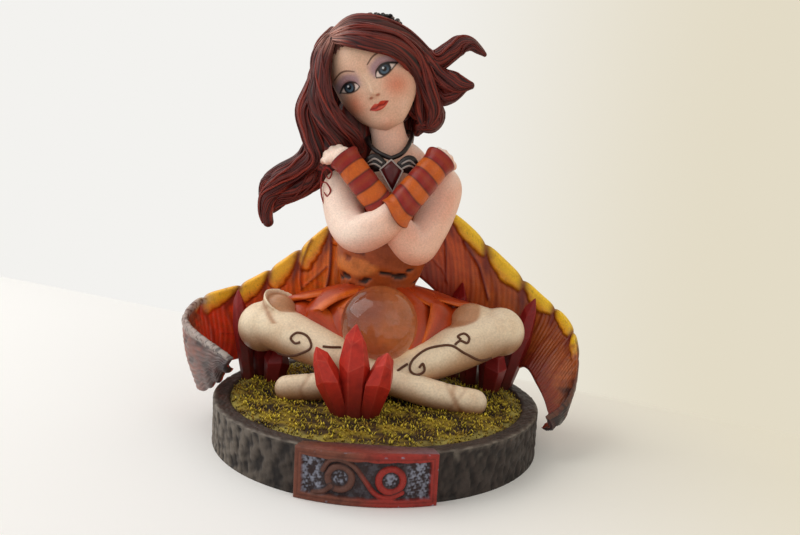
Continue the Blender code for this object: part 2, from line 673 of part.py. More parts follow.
def on_side(arc, radius, height):
    # A point round the front of the base, arc metres from the middle
    angle = arc / BASE_RADIUS
    return Vector((radius * math.sin(angle), -radius * math.cos(angle), height))


def make_plaque():
    # A curved plate up the full side of the base, with its field sunk inside a plain frame
    columns = 16
    face_radius = BASE_RADIUS + PLAQUE_STAND
    back_radius = BASE_RADIUS - PLAQUE_ROOT
    outer = PLAQUE_WIDTH / 2
    inner = outer - PLAQUE_FRAME
    arcs = [-outer, *np.linspace(-inner, inner, columns), outer]
    levels = [0.0, PLAQUE_FRAME, PLAQUE_FRAME + PLAQUE_SLOPE]
    levels += [BASE_HEIGHT - PLAQUE_FRAME - PLAQUE_SLOPE, BASE_HEIGHT - PLAQUE_FRAME, BASE_HEIGHT]
    bm = bmesh.new()
    front = []
    for i, arc in enumerate(arcs):
        column = []
        for level, height in enumerate(levels):
            sunk = 1 < i < len(arcs) - 2 and level in (2, 3)
            radius = face_radius - (PLAQUE_RECESS if sunk else 0.0)
            column.append(bm.verts.new(on_side(arc, radius, height)))
        front.append(column)
    rear = [[bm.verts.new(on_side(arc, back_radius, h)) for h in (0.0, BASE_HEIGHT)] for arc in arcs]
    for i in range(len(arcs) - 1):
        for j in range(len(levels) - 1):
            bm.faces.new((front[i][j], front[i + 1][j], front[i + 1][j + 1], front[i][j + 1]))
        bm.faces.new((rear[i][0], rear[i][1], rear[i + 1][1], rear[i + 1][0]))
        bm.faces.new((front[i][0], rear[i][0], rear[i + 1][0], front[i + 1][0]))
        bm.faces.new((front[i][-1], front[i + 1][-1], rear[i + 1][1], rear[i][1]))
    bm.faces.new(front[0] + [rear[0][1], rear[0][0]])
    bm.faces.new(list(reversed(front[-1])) + [rear[-1][0], rear[-1][1]])
    for face in bm.faces:
        face.material_index = PAINT_NAMES.index("plaque")
    plaque = mesh_object("plaque", bm)
    add_paints(plaque)
    return plaque


def make_ring(centre_arc, number):
    # A raised ring that lies in the plaque's field and follows its curve
    turns = 20
    sides = 5
    seat_radius = BASE_RADIUS + PLAQUE_STAND - PLAQUE_RECESS + RING_WIRE * WIRE_STAND
    bm = bmesh.new()
    loops = []
    for k in range(turns):
        a = 2 * math.pi * k / turns
        loop = []
        for s in range(sides):
            b = 2 * math.pi * s / sides
            reach = RING_RADIUS + RING_WIRE * math.cos(b)
            radius = seat_radius + RING_WIRE * math.sin(b)
            arc = centre_arc + reach * math.cos(a)
            loop.append(bm.verts.new(on_side(arc, radius, BASE_HEIGHT / 2 + reach * math.sin(a))))
        loops.append(loop)
    for k in range(turns):
        low = loops[k]
        high = loops[(k + 1) % turns]
        for s in range(sides):
            after = (s + 1) % sides
            face = bm.faces.new((low[s], low[after], high[after], high[s]))
            face.material_index = PAINT_NAMES.index("plaque")
    ring = mesh_object("ring_%d" % number, bm)
    add_paints(ring)
    return ring


# Raised sweeps beside the rings: arc in halves of the ring spacing, height in ring radii
SWEEPS = [
    [(-1.7, 0.5), (-1.43, 1.38), (-0.93, 1.53), (-0.42, 1.0),
     (0, -0.12), (0.42, -1.19), (0.96, -1.47), (1.46, -1.06)],
    [(-2.06, -1.53), (-1.61, -1.31), (-1.34, -0.75)],
]


def make_sweep(number, points):
    # A half-sunk wire that follows the points over the curved field
    sides = 5
    half = RING_SPACING / 2
    rows = spline([(a * half, BASE_HEIGHT / 2 + h * RING_RADIUS) for a, h in points], 3)
    run = np.gradient(rows, axis=0)
    run /= np.linalg.norm(run, axis=1)[:, None]
    seat_radius = BASE_RADIUS + PLAQUE_STAND - PLAQUE_RECESS + SWEEP_WIRE * WIRE_STAND
    bm = bmesh.new()
    loops = []
    for (arc, height), (step_arc, step_height) in zip(rows, run):
        loop = []
        for s in range(sides):
            b = 2 * math.pi * s / sides
            aside = SWEEP_WIRE * math.cos(b)
            place = on_side(arc - step_height * aside, seat_radius + SWEEP_WIRE * math.sin(b),
                            height + step_arc * aside)
            loop.append(bm.verts.new(place))
        loops.append(loop)
    for low, high in zip(loops, loops[1:]):
        for s in range(sides):
            after = (s + 1) % sides
            bm.faces.new((low[s], low[after], high[after], high[s]))
    bm.faces.new(loops[0])
    bm.faces.new(list(reversed(loops[-1])))
    for face in bm.faces:
        face.material_index = PAINT_NAMES.index("plaque")
    sweep = mesh_object("sweep_%d" % number, bm)
    add_paints(sweep)
    return sweep


# Crystals: foot, tip, share of the crystal width, turn about the axis in degrees
CRYSTALS = [
    ((-6.4, -25.5, -1.0), (-6.4, -26.5, 30.0), 1.0, 10),
    ((-9.4, -24.0, -1.0), (-18.4, -27.5, 22.4), 1.05, 25),
    ((-1.6, -24.0, -1.0), (3.6, -27.5, 21.8), 1.05, 40),
    ((-5.6, -21.5, -1.0), (-5.0, -21.0, 14.0), 1.0, 5),
    ((-47.0, 9.0, -1.0), (-52.6, 12.0, 32.6), 0.76, 15),
    ((-43.0, 14.0, -1.0), (-45.0, 16.0, 22.0), 0.9, 40),
    ((-38.0, 8.0, -1.0), (-36.0, 9.0, 14.0), 1.2, 0),
    ((46.0, 17.0, -1.0), (56.0, 18.0, 34.8), 1.0, 20),
    ((40.0, 12.0, -1.0), (42.0, 13.0, 16.0), 1.2, 45),
    ((27.0, 26.5, -1.0), (29.6, 27.0, 38.0), 1.15, 10),
    ((34.0, 20.0, -1.0), (33.0, 20.0, 20.0), 1.2, 30),
]


def make_crystal(number, foot, tip, share, turn):
    # A six-sided point whose shoulders meet the tip over the last third
    foot = Vector(foot) * MM
    tip = Vector(tip) * MM
    axis = tip - foot
    turned_frame = axis.to_track_quat("Z", "Y").to_matrix()
    half = CRYSTAL_WIDTH * share / 2
    bm = bmesh.new()
    loops = []
    for part, size in ((0.0, 0.62), (1.0 - CRYSTAL_TIP * 1.35, 1.0), (1.0 - CRYSTAL_TIP * 0.55, 0.72)):
        loop = []
        for k in range(6):
            a = math.radians(turn) + k * math.pi / 3
            # Alternate edges stand higher, as on a natural point
            skew = (0.05 if k % 2 else -0.03) * (1 if part > 0 else 0)
            local = Vector((half * size * math.cos(a), 0.8 * half * size * math.sin(a), 0))
            loop.append(bm.verts.new(foot + axis * (part + skew) + turned_frame @ local))
        loops.append(loop)
    apex = bm.verts.new(tip)
    for low, high in zip(loops, loops[1:]):
        for k in range(6):
            bm.faces.new((low[k], low[(k + 1) % 6], high[(k + 1) % 6], high[k]))
    for k in range(6):
        bm.faces.new((loops[-1][k], loops[-1][(k + 1) % 6], apex))
    bm.faces.new(list(reversed(loops[0])))
    for face in bm.faces:
        face.material_index = PAINT_NAMES.index("crystal")
    bmesh.ops.translate(bm, verts=bm.verts, vec=(0, 0, SEAT_Z))
    crystal = mesh_object("crystal_%d" % number, bm)
    add_paints(crystal)
    return crystal


# Wing edges from root to tip, in millimetres from the middle of the grass
LEFT_TOP = [
    (-4.6, 22.0, 65.0), (-20.6, 25.5, 58.0), (-33.2, 27, 47.4), (-44.4, 27, 38.8), (-55.2, 25, 32.4),
    (-66.6, 19, 27.4), (-70.2, 11, 22.6), (-66.6, 3, 20.0), (-59.4, -5, 17.8), (-52.8, -11, 15.8),
    (-47.9, -15, 13.4),
]
LEFT_LOW = [
    (-4.6, 24.5, 41.0), (-11, 26.5, 27), (-21, 28.5, 14), (-34, 29, 6.5), (-48, 26, 4.6),
    (-60.0, 18, 2.0), (-64.2, 10, -1.0), (-62.6, 2.5, -3.4), (-58.8, -3, -1.8), (-53.2, -9.6, 3.2),
    (-48.2, -14.4, 9.2),
]
RIGHT_TOP = [
    (5.4, 22.0, 68.0), (23.5, 25.5, 64.2), (41.3, 27, 50.4), (57.4, 24, 36.6), (68.0, 16, 27.6),
    (70.0, 6, 19.4), (67.8, -3, 10.2), (62.6, -12, 4.6), (55.0, -19, 1.4),
]
RIGHT_LOW = [
    (5.4, 24.5, 44.0), (21.5, 28, 31.0), (33, 29, 12), (46, 20, 6.0), (52.8, 13, 10.6),
    (55.6, 3, 6.0), (57.4, -5, 1.8), (57.6, -11, -2.8), (54.4, -17, -3.6),
]


LEFT_LOBES = 10
RIGHT_LOBES = 9


def make_wing(name, top, low, lobes, inward, grow, paint):
    # A sheet between the two edges, bowed back, with a scalloped leading edge and raised veins.
    # inward is 1 where the sheet's normal faces the figure and -1 where it faces away; grow
    # thickens the sheet all round, for the cutter that seats it.
    spans = 4 * lobes
    rows = 6
    steps = np.linspace(0.0, 1.0, spans + 1)
    upper = spline(top, 12)
    under = spline(low, 12)
    sheet = []
    for i, t in enumerate(steps):
        where = t * (len(upper) - 1)
        k = min(int(where), len(upper) - 2)
        a = upper[k] + (upper[k + 1] - upper[k]) * (where - k)
        b = under[k] + (under[k + 1] - under[k]) * (where - k)
        sheet.append([Vector(a + (b - a) * j / rows) * MM for j in range(rows + 1)])
    fronts = []
    backs = []
    half = WING_THICKNESS / 2
    for i in range(spans + 1):
        front_row = []
        back_row = []
        phase = math.sin(math.pi * i * lobes / spans)
        for j in range(rows + 1):
            along = sheet[min(i + 1, spans)][j] - sheet[max(i - 1, 0)][j]
            down = sheet[i][min(j + 1, rows)] - sheet[i][max(j - 1, 0)]
            normal = along.cross(down).normalized() * inward
            hollow = WING_BOW * math.sin(math.pi * j / rows) * i / spans
            middle = sheet[i][j] - normal * hollow
            lobe = WING_LOBE * abs(phase) if j <= 2 else 0.0
            vein = WING_VEIN if j > 2 and i % 4 == 0 else 0.0
            edge = WING_EDGE if j in (0, rows) else 1.0
            thick = half * edge + grow
            front_row.append(middle + normal * (thick + lobe + vein))
            back_row.append(middle - normal * (thick + vein * 0.5))
        # The grown sheet also reaches past its edges
        if grow:
            for row in (front_row, back_row):
                down = (sheet[i][0] - sheet[i][-1]).normalized()
                row[0] = row[0] + down * grow
                row[-1] = row[-1] - down * grow
        fronts.append(front_row)
        backs.append(back_row)
    if grow:
        for rows_of in (fronts, backs):
            root = (sheet[0][0] - sheet[1][0]).normalized() * grow
            tip = (sheet[-1][0] - sheet[-2][0]).normalized() * grow
            rows_of[0] = [p + root for p in rows_of[0]]
            rows_of[-1] = [p + tip for p in rows_of[-1]]
    bm = bmesh.new()
    front = [[bm.verts.new(p) for p in row] for row in fronts]
    back = [[bm.verts.new(p) for p in row] for row in backs]
    for i in range(spans):
        for j in range(rows):
            bm.faces.new((front[i][j], front[i + 1][j], front[i + 1][j + 1], front[i][j + 1]))
            bm.faces.new((back[i][j], back[i][j + 1], back[i + 1][j + 1], back[i + 1][j]))
        bm.faces.new((front[i][0], back[i][0], back[i + 1][0], front[i + 1][0]))
        bm.faces.new((front[i][rows], front[i + 1][rows], back[i + 1][rows], back[i][rows]))
    for j in range(rows):
        bm.faces.new((front[0][j], front[0][j + 1], back[0][j + 1], back[0][j]))
        bm.faces.new((front[spans][j], back[spans][j], back[spans][j + 1], front[spans][j + 1]))
    bmesh.ops.translate(bm, verts=bm.verts, vec=(0, 0, SEAT_Z))
    wing = mesh_object(name, bm)
    join_tongue(wing, Vector(top[0]) * MM, Vector(low[0]) * MM, grow)
    wing.data.materials.clear()
    wing.data.materials.append(paint)
    for polygon in wing.data.polygons:
        polygon.material_index = 0
    wing.data.shade_smooth()
    wing.data.set_sharp_from_angle(angle=math.radians(50))
    return wing


def join_tongue(wing, top, low, grow):
    # A square tongue at the root, which seats in the figure's back
    centre = (top + low) / 2 + Vector((0, 0, SEAT_Z))
    centre.y -= TONGUE_DEPTH / 2 - TONGUE_ROOT
    size = Vector((TONGUE_THICKNESS, TONGUE_DEPTH + 2 * TONGUE_ROOT, TONGUE_HEIGHT))
    size += Vector((2, 2, 2)) * grow
    bm = bmesh.new()
    bmesh.ops.create_cube(bm, size=1.0, matrix=Matrix.Translation(centre) @ Matrix.Diagonal((*size, 1)))
    tongue = mesh_object("tongue", bm)
    combine(wing, [tongue], "UNION")


def combine(target, tools, operation):
    for tool in tools:
        cut = target.modifiers.new("Join", "BOOLEAN")
        cut.operation = operation
        cut.solver = "EXACT"
        cut.object = tool
    bake_modifiers(target)
    for tool in tools:
        bpy.data.objects.remove(tool, do_unlink=True)


def make_ball_mesh(name, radius, segments, rings):
    bm = bmesh.new()
    centre = Vector((BALL_OFFSET_X, BALL_OFFSET_Y, SEAT_Z + BALL_LIFT))
    matrix = Matrix.Translation(centre)
    bmesh.ops.create_uvsphere(bm, u_segments=segments, v_segments=rings, radius=radius, matrix=matrix)
    for face in bm.faces:
        face.smooth = True
    return mesh_object(name, bm)


def make_ball(paint):
    ball = make_ball_mesh("crystal_ball", BALL_DIAMETER / 2, 24, 12)
    ball.data.materials.append(paint)
    return ball


def make_casting(wing_cutters):
    casting = make_clay()
    casting.name = "figure_casting"
    pieces = [make_base(), make_plaque()]
    pieces += [make_ring(side * RING_SPACING / 2, n) for n, side in enumerate((-1, 1))]
    pieces += [make_sweep(n, points) for n, points in enumerate(SWEEPS)]
    pieces += [make_crystal(n, *values) for n, values in enumerate(CRYSTALS)]
    combine(casting, pieces, "UNION")
    seat = make_ball_mesh("ball_seat", BALL_DIAMETER / 2 + SEAT_GAP, 24, 12)
    combine(casting, [seat] + wing_cutters, "DIFFERENCE")
    tidy_facets(casting)
    fill_pockets(casting)
    return casting


def main():
    clear_scene()
    for name, (color, roughness) in PAINTS.items():
        make_material(name, color, roughness)
    wing_paint = make_material("wing_amber", (0.62, 0.11, 0.015), 0.4)
    glass = make_material("clear_glass", (0.95, 0.92, 0.9), 0.03, transmission=1.0)
    wings = [
        ("left_wing", LEFT_TOP, LEFT_LOW, LEFT_LOBES, 1),
        ("right_wing", RIGHT_TOP, RIGHT_LOW, RIGHT_LOBES, -1),
    ]
    cutters = [make_wing(name + "_cutter", *shape, SEAT_GAP, wing_paint) for name, *shape in wings]
    make_casting(cutters)
    for name, *shape in wings:
        make_wing(name, *shape, 0.0, wing_paint)
    make_ball(glass)


main()
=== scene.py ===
import math

import bmesh
import bpy
import numpy as np
from mathutils import Matrix, Vector
from mathutils.bvhtree import BVHTree


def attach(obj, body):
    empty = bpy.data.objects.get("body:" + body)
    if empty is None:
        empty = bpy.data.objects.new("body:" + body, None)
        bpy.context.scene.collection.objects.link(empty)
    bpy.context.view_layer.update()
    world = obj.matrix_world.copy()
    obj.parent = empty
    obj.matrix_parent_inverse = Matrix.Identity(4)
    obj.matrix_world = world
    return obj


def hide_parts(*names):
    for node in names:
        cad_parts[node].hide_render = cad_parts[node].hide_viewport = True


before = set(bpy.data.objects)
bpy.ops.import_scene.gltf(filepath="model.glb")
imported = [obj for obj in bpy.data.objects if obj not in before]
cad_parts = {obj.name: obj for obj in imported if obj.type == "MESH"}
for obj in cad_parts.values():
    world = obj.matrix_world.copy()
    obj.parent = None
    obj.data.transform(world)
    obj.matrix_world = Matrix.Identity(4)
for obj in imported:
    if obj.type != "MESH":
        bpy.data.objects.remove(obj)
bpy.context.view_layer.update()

mm = 0.001
baseRadius = 55.0
baseHeight = 14.4
seatHeight = 13.4
headAt = np.array([-7.6, 9.8, 109.6])
headTurn = Matrix.Rotation(math.radians(-28.5), 3, "Y") @ Matrix.Rotation(math.radians(-10.0), 3, "Z")
headTurn = headTurn @ Matrix.Rotation(math.radians(9.0), 3, "X")


# Colour helpers
def displayColor(red, green, blue):
    # Display values out of 255 turned into linear light
    values = np.array([red, green, blue], float) / 255
    return np.where(values > 0.04, ((values + 0.055) / 1.055) ** 2.4, values / 12.92)


def blendColor(first, second, share):
    # First turns into second where the share field is one
    share = np.clip(np.asarray(share, float), 0, 1)[..., None]
    return first + (second - first) * share


def smoothStep(low, high, value):
    part = np.clip((np.asarray(value, float) - low) / (high - low), 0, 1)
    return part * part * (3 - 2 * part)


def waveField(points, size, seed, waves=10):
    # A smooth random field made of plane waves about one size long
    rng = np.random.default_rng(seed)
    total = np.zeros(points.shape[:-1])
    for _ in range(waves):
        direction = rng.normal(size=3)
        direction /= np.linalg.norm(direction)
        reach = size * rng.uniform(0.6, 1.7)
        total += np.sin(points @ direction * (2 * math.pi / reach) + rng.uniform(0, 2 * math.pi))
    return total / math.sqrt(waves)


def ringField(angle, level, low, high, seed, waves=12):
    # A random field round a ring: whole numbers of waves, swaying with the level
    rng = np.random.default_rng(seed)
    total = np.zeros(np.broadcast(angle, level).shape)
    for _ in range(waves):
        count = rng.integers(low, high)
        sway = rng.uniform(-2.0, 2.0)
        total += np.sin(count * angle + sway * level + rng.uniform(0, 2 * math.pi))
    return total / math.sqrt(waves)


# Shape helpers
def unit(vectors):
    return vectors / np.maximum(np.linalg.norm(vectors, axis=-1, keepdims=True), 1e-9)


def spline(stations, perSpan):
    # Catmull-Rom curve through the stations, with every column carried along
    pts = np.array(stations, float)
    last = len(pts) - 1
    before = pts[np.maximum(np.arange(last) - 1, 0)]
    start = pts[:-1]
    end = pts[1:]
    after = pts[np.minimum(np.arange(last) + 2, last)]
    t = (np.arange(perSpan) / perSpan)[None, :, None]
    before, start, end, after = (part[:, None, :] for part in (before, start, end, after))
    linear = (end - before) * t
    square = (2 * before - 5 * start + 4 * end - after) * t ** 2
    cube = (3 * start - before - 3 * end + after) * t ** 3
    rows = 0.5 * (2 * start + linear + square + cube)
    return np.vstack([rows.reshape(-1, pts.shape[1]), pts[-1:]])


def sweep(stations, sides, perSpan, out=(0.0, -1.0, 0.0), around=None, relief=None, blunt=1.0):
    # Stations are (x, y, z, half width, half depth). Both ends are rounded off.
    rows = spline(stations, perSpan)
    rows[:, 3:] = np.maximum(rows[:, 3:], 0.12)
    last = len(rows) - 1
    bend = np.linspace(0.1, math.pi / 2, 6)[:-1]
    pick = np.concatenate([np.zeros(5, int), np.arange(last + 1), np.full(5, last)])
    offset = np.concatenate([-np.cos(bend), np.zeros(last + 1), np.cos(bend)[::-1]]) * blunt
    shrink = np.concatenate([np.sin(bend), np.ones(last + 1), np.sin(bend)[::-1]])
    tangent = unit(np.gradient(rows[:, :3], axis=0))
    facing = rows[:, :3] - np.array(around) if around is not None else np.tile(np.array(out, float), (last + 1, 1))
    side = unit(np.cross(tangent, facing))
    front = np.cross(side, tangent)
    angle = np.tile(np.arange(sides) * 2 * math.pi / sides, (len(pick), 1))
    share = np.tile((pick / last)[:, None], (1, sides))
    swell = relief(angle, share) if relief is not None else np.ones_like(angle)
    wide = rows[pick, 3] * shrink
    deep = rows[pick, 4] * shrink
    reach = np.minimum(rows[pick, 3], rows[pick, 4])
    centre = rows[pick, :3] + tangent[pick] * (offset * reach)[:, None]
    points = centre[:, None, :]
    points = points + side[pick][:, None, :] * (wide[:, None] * swell * np.cos(angle))[..., None]
    points = points + front[pick][:, None, :] * (deep[:, None] * swell * np.sin(angle))[..., None]
    return points, angle, share


def ballGrid(centre, radii, turn=None, rows=40, sides=64):
    polar = np.linspace(0.04, math.pi - 0.04, rows)[:, None]
    angle = (np.arange(sides) * 2 * math.pi / sides)[None, :]
    local = np.stack([
        radii[0] * np.sin(polar) * np.cos(angle),
        radii[1] * np.sin(polar) * np.sin(angle),
        radii[2] * np.cos(polar) * np.ones_like(angle),
    ], axis=-1)
    if turn is not None:
        local = local @ np.array(turn).T
    return local + np.array(centre)


def gridShell(points, tint=None):
    # A ring grid closed at both ends with fans; faces are turned outward by the shell's volume
    rows, sides = points.shape[:2]
    verts = points.reshape(-1, 3)
    index = np.arange(rows * sides).reshape(rows, sides)
    nextIndex = np.roll(index, -1, axis=1)
    quads = np.stack([index[:-1], nextIndex[:-1], nextIndex[1:], index[1:]], axis=-1).reshape(-1, 4)
    hubs = np.array([points[0].mean(axis=0), points[-1].mean(axis=0)])
    verts = np.vstack([verts, hubs])
    low, high = rows * sides, rows * sides + 1
    startFan = np.stack([nextIndex[0], index[0], np.full(sides, low)], axis=-1)
    endFan = np.stack([index[-1], nextIndex[-1], np.full(sides, high)], axis=-1)
    tris = np.vstack([startFan, endFan])
    corners = verts[quads]
    volume = np.einsum("ij,ij->i", corners[:, 0], np.cross(corners[:, 1], corners[:, 2])).sum()
    volume += np.einsum("ij,ij->i", corners[:, 0], np.cross(corners[:, 2], corners[:, 3])).sum()
    fan = verts[tris]
    volume += np.einsum("ij,ij->i", fan[:, 0], np.cross(fan[:, 1], fan[:, 2])).sum()
    if volume < 0:
        quads = quads[:, ::-1]
        tris = tris[:, ::-1]
    if tint is None:
        tint = np.ones((rows, sides, 3))
    paint = tint.reshape(-1, 3)
    paint = np.vstack([paint, tint[0].mean(axis=0), tint[-1].mean(axis=0)])
    return verts, quads, tris, paint


def meshFromShells(name, shells):
    mesh = bpy.data.meshes.new(name)
    verts, faces, paints, count = [], [], [], 0
    for shellVerts, quads, tris, paint in shells:
        verts.append(shellVerts)
        faces += (quads + count).tolist()
        faces += (tris + count).tolist()
        paints.append(paint)
        count += len(shellVerts)
    placed = (np.vstack(verts) + [0, 0, seatHeight]) * mm
    mesh.from_pydata(placed.tolist(), [], faces)
    storeTint(mesh, np.vstack(paints))
    return mesh


def storeTint(mesh, paint):
    layer = mesh.color_attributes.get("tint") or mesh.color_attributes.new("tint", "FLOAT_COLOR", "POINT")
    values = np.ones((len(mesh.vertices), 4), np.float32)
    values[:, :3] = np.clip(paint, 0, 1)
    layer.data.foreach_set("color", values.ravel())


def meshPoints(mesh):
    # Vertex places back in millimetres from the middle of the grass
    flat = np.empty(len(mesh.vertices) * 3, np.float32)
    mesh.vertices.foreach_get("co", flat)
    return flat.reshape(-1, 3).astype(float) / mm - [0, 0, seatHeight]


def meshNormals(mesh):
    flat = np.empty(len(mesh.vertices) * 3, np.float32)
    mesh.vertex_normals.foreach_get("vector", flat)
    return flat.reshape(-1, 3).astype(float)


def moveVertices(mesh, points):
    placed = (points + [0, 0, seatHeight]) * mm
    mesh.vertices.foreach_set("co", placed.astype(np.float32).ravel())
    mesh.update()


def addObject(name, mesh, material, nodes=("figure_casting",)):
    obj = bpy.data.objects.new(name, mesh)
    bpy.context.scene.collection.objects.link(obj)
    mesh.materials.clear()
    mesh.materials.append(material)
    mesh.shade_smooth()
    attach(obj, "root")
    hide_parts(*nodes)
    print("built", name, len(mesh.polygons), "faces")
    return obj


def bakedMesh(mesh, setUp):
    # Runs modifiers over a mesh and gives back the finished one
    helper = bpy.data.objects.new("helper", mesh)
    bpy.context.scene.collection.objects.link(helper)
    setUp(helper)
    depsgraph = bpy.context.evaluated_depsgraph_get()
    baked = bpy.data.meshes.new_from_object(helper.evaluated_get(depsgraph))
    bpy.data.objects.remove(helper, do_unlink=True)
    return baked


def fusedMesh(name, shells, voxel, rounds):
    # Overlapping forms pressed into one skin, as clay is
    def setUp(helper):
        fuse = helper.modifiers.new("Fuse", "REMESH")
        fuse.mode = "VOXEL"
        fuse.voxel_size = voxel * mm
        soften = helper.modifiers.new("Soften", "SMOOTH")
        soften.factor = 0.5
        soften.iterations = rounds

    baked = bakedMesh(meshFromShells(name, shells), setUp)
    baked.name = name
    return baked


def newTree(name, inputs):
    # A Geometry Nodes tree with named inputs, and the identifiers that a modifier sets them by
    tree = bpy.data.node_groups.new(name, "GeometryNodeTree")
    for socketName, socketType, value in [("Geometry", "NodeSocketGeometry", None)] + inputs:
        socket = tree.interface.new_socket(name=socketName, in_out="INPUT", socket_type=socketType)
        if value is not None:
            socket.default_value = value
    tree.interface.new_socket(name="Geometry", in_out="OUTPUT", socket_type="NodeSocketGeometry")
    identifiers = {item.name: item.identifier for item in tree.interface.items_tree if item.in_out == "INPUT"}
    return tree, tree.nodes.new("NodeGroupInput"), tree.nodes.new("NodeGroupOutput"), identifiers


def finishTree(tree, given, result, made):
    # Every tree ends in real geometry with its material set
    real = tree.nodes.new("GeometryNodeRealizeInstances")
    coat = tree.nodes.new("GeometryNodeSetMaterial")
    tree.links.new(made, real.inputs["Geometry"])
    tree.links.new(real.outputs["Geometry"], coat.inputs["Geometry"])
    tree.links.new(given.outputs["Material"], coat.inputs["Material"])
    tree.links.new(coat.outputs["Geometry"], result.inputs["Geometry"])


def curveDistance(points, path):
    # Distance of each point to a polyline, and how far along it the nearest place is
    best = np.full(len(points), 1e9)
    along = np.zeros(len(points))
    for k in range(len(path) - 1):
        a, b = path[k], path[k + 1]
        ab = b - a
        t = np.clip(((points - a) @ ab) / max(ab @ ab, 1e-12), 0, 1)
        gap = np.linalg.norm(points - a - t[:, None] * ab, axis=1)
        near = gap < best
        best = np.where(near, gap, best)
        along = np.where(near, (k + t) / (len(path) - 1), along)
    return best, along


# Materials
def newGroup(name, inputs, outputs):
    group = bpy.data.node_groups.new(name, "ShaderNodeTree")
    for socketName, socketType, value in inputs:
        socket = group.interface.new_socket(name=socketName, in_out="INPUT", socket_type=socketType)
        socket.default_value = value
    for socketName, socketType in outputs:
        group.interface.new_socket(name=socketName, in_out="OUTPUT", socket_type=socketType)
    return group, group.nodes.new("NodeGroupInput"), group.nodes.new("NodeGroupOutput")


def makeResinGroup():
    # Brushed paint over cast resin: broad blotches, fine grain, uneven gloss and a soft bump
    group, given, result = newGroup("brushedPaint", [
        ("Tint", "NodeSocketColor", (0.5, 0.5, 0.5, 1)),
        ("Wash", "NodeSocketColor", (0.1, 0.05, 0.03, 1)),
        ("Wash Amount", "NodeSocketFloat", 0.3),
        ("Blotch Scale", "NodeSocketFloat", 300.0),
        ("Grain Scale", "NodeSocketFloat", 1800.0),
        ("Gloss Low", "NodeSocketFloat", 0.35),
        ("Gloss High", "NodeSocketFloat", 0.55),
        ("Bump", "NodeSocketFloat", 0.2),
    ], [("Color", "NodeSocketColor"), ("Roughness", "NodeSocketFloat"), ("Normal", "NodeSocketVector")])
    nodes, links = group.nodes, group.links
    place = nodes.new("ShaderNodeTexCoord")
    blotch = nodes.new("ShaderNodeTexNoise")
    grain = nodes.new("ShaderNodeTexNoise")
    blotch.inputs["Detail"].default_value = 4.0
    grain.inputs["Detail"].default_value = 5.0
    links.new(place.outputs["Object"], blotch.inputs["Vector"])
    links.new(place.outputs["Object"], grain.inputs["Vector"])
    links.new(given.outputs["Blotch Scale"], blotch.inputs["Scale"])
    links.new(given.outputs["Grain Scale"], grain.inputs["Scale"])
    washRange = nodes.new("ShaderNodeMapRange")
    washRange.inputs["From Min"].default_value = 0.48
    washRange.inputs["From Max"].default_value = 0.72
    links.new(blotch.outputs["Fac"], washRange.inputs["Value"])
    washShare = nodes.new("ShaderNodeMath")
    washShare.operation = "MULTIPLY"
    links.new(washRange.outputs["Result"], washShare.inputs[0])
    links.new(given.outputs["Wash Amount"], washShare.inputs[1])
    washMix = nodes.new("ShaderNodeMix")
    washMix.data_type = "RGBA"
    links.new(washShare.outputs["Value"], washMix.inputs["Factor"])
    links.new(given.outputs["Tint"], washMix.inputs["A"])
    links.new(given.outputs["Wash"], washMix.inputs["B"])
    grainValue = nodes.new("ShaderNodeMapRange")
    grainValue.inputs["From Min"].default_value = 0.3
    grainValue.inputs["From Max"].default_value = 0.7
    grainValue.inputs["To Min"].default_value = 0.88
    grainValue.inputs["To Max"].default_value = 1.1
    links.new(grain.outputs["Fac"], grainValue.inputs["Value"])
    shade = nodes.new("ShaderNodeVectorMath")
    shade.operation = "SCALE"
    links.new(washMix.outputs["Result"], shade.inputs[0])
    links.new(grainValue.outputs["Result"], shade.inputs["Scale"])
    links.new(shade.outputs["Vector"], result.inputs["Color"])
    gloss = nodes.new("ShaderNodeMapRange")
    gloss.inputs["From Min"].default_value = 0.3
    gloss.inputs["From Max"].default_value = 0.7
    links.new(blotch.outputs["Fac"], gloss.inputs["Value"])
    links.new(given.outputs["Gloss Low"], gloss.inputs["To Min"])
    links.new(given.outputs["Gloss High"], gloss.inputs["To Max"])
    links.new(gloss.outputs["Result"], result.inputs["Roughness"])
    bump = nodes.new("ShaderNodeBump")
    bump.inputs["Distance"].default_value = 0.0002
    links.new(given.outputs["Bump"], bump.inputs["Strength"])
    links.new(grain.outputs["Fac"], bump.inputs["Height"])
    links.new(bump.outputs["Normal"], result.inputs["Normal"])
    return group


resinGroup = makeResinGroup()


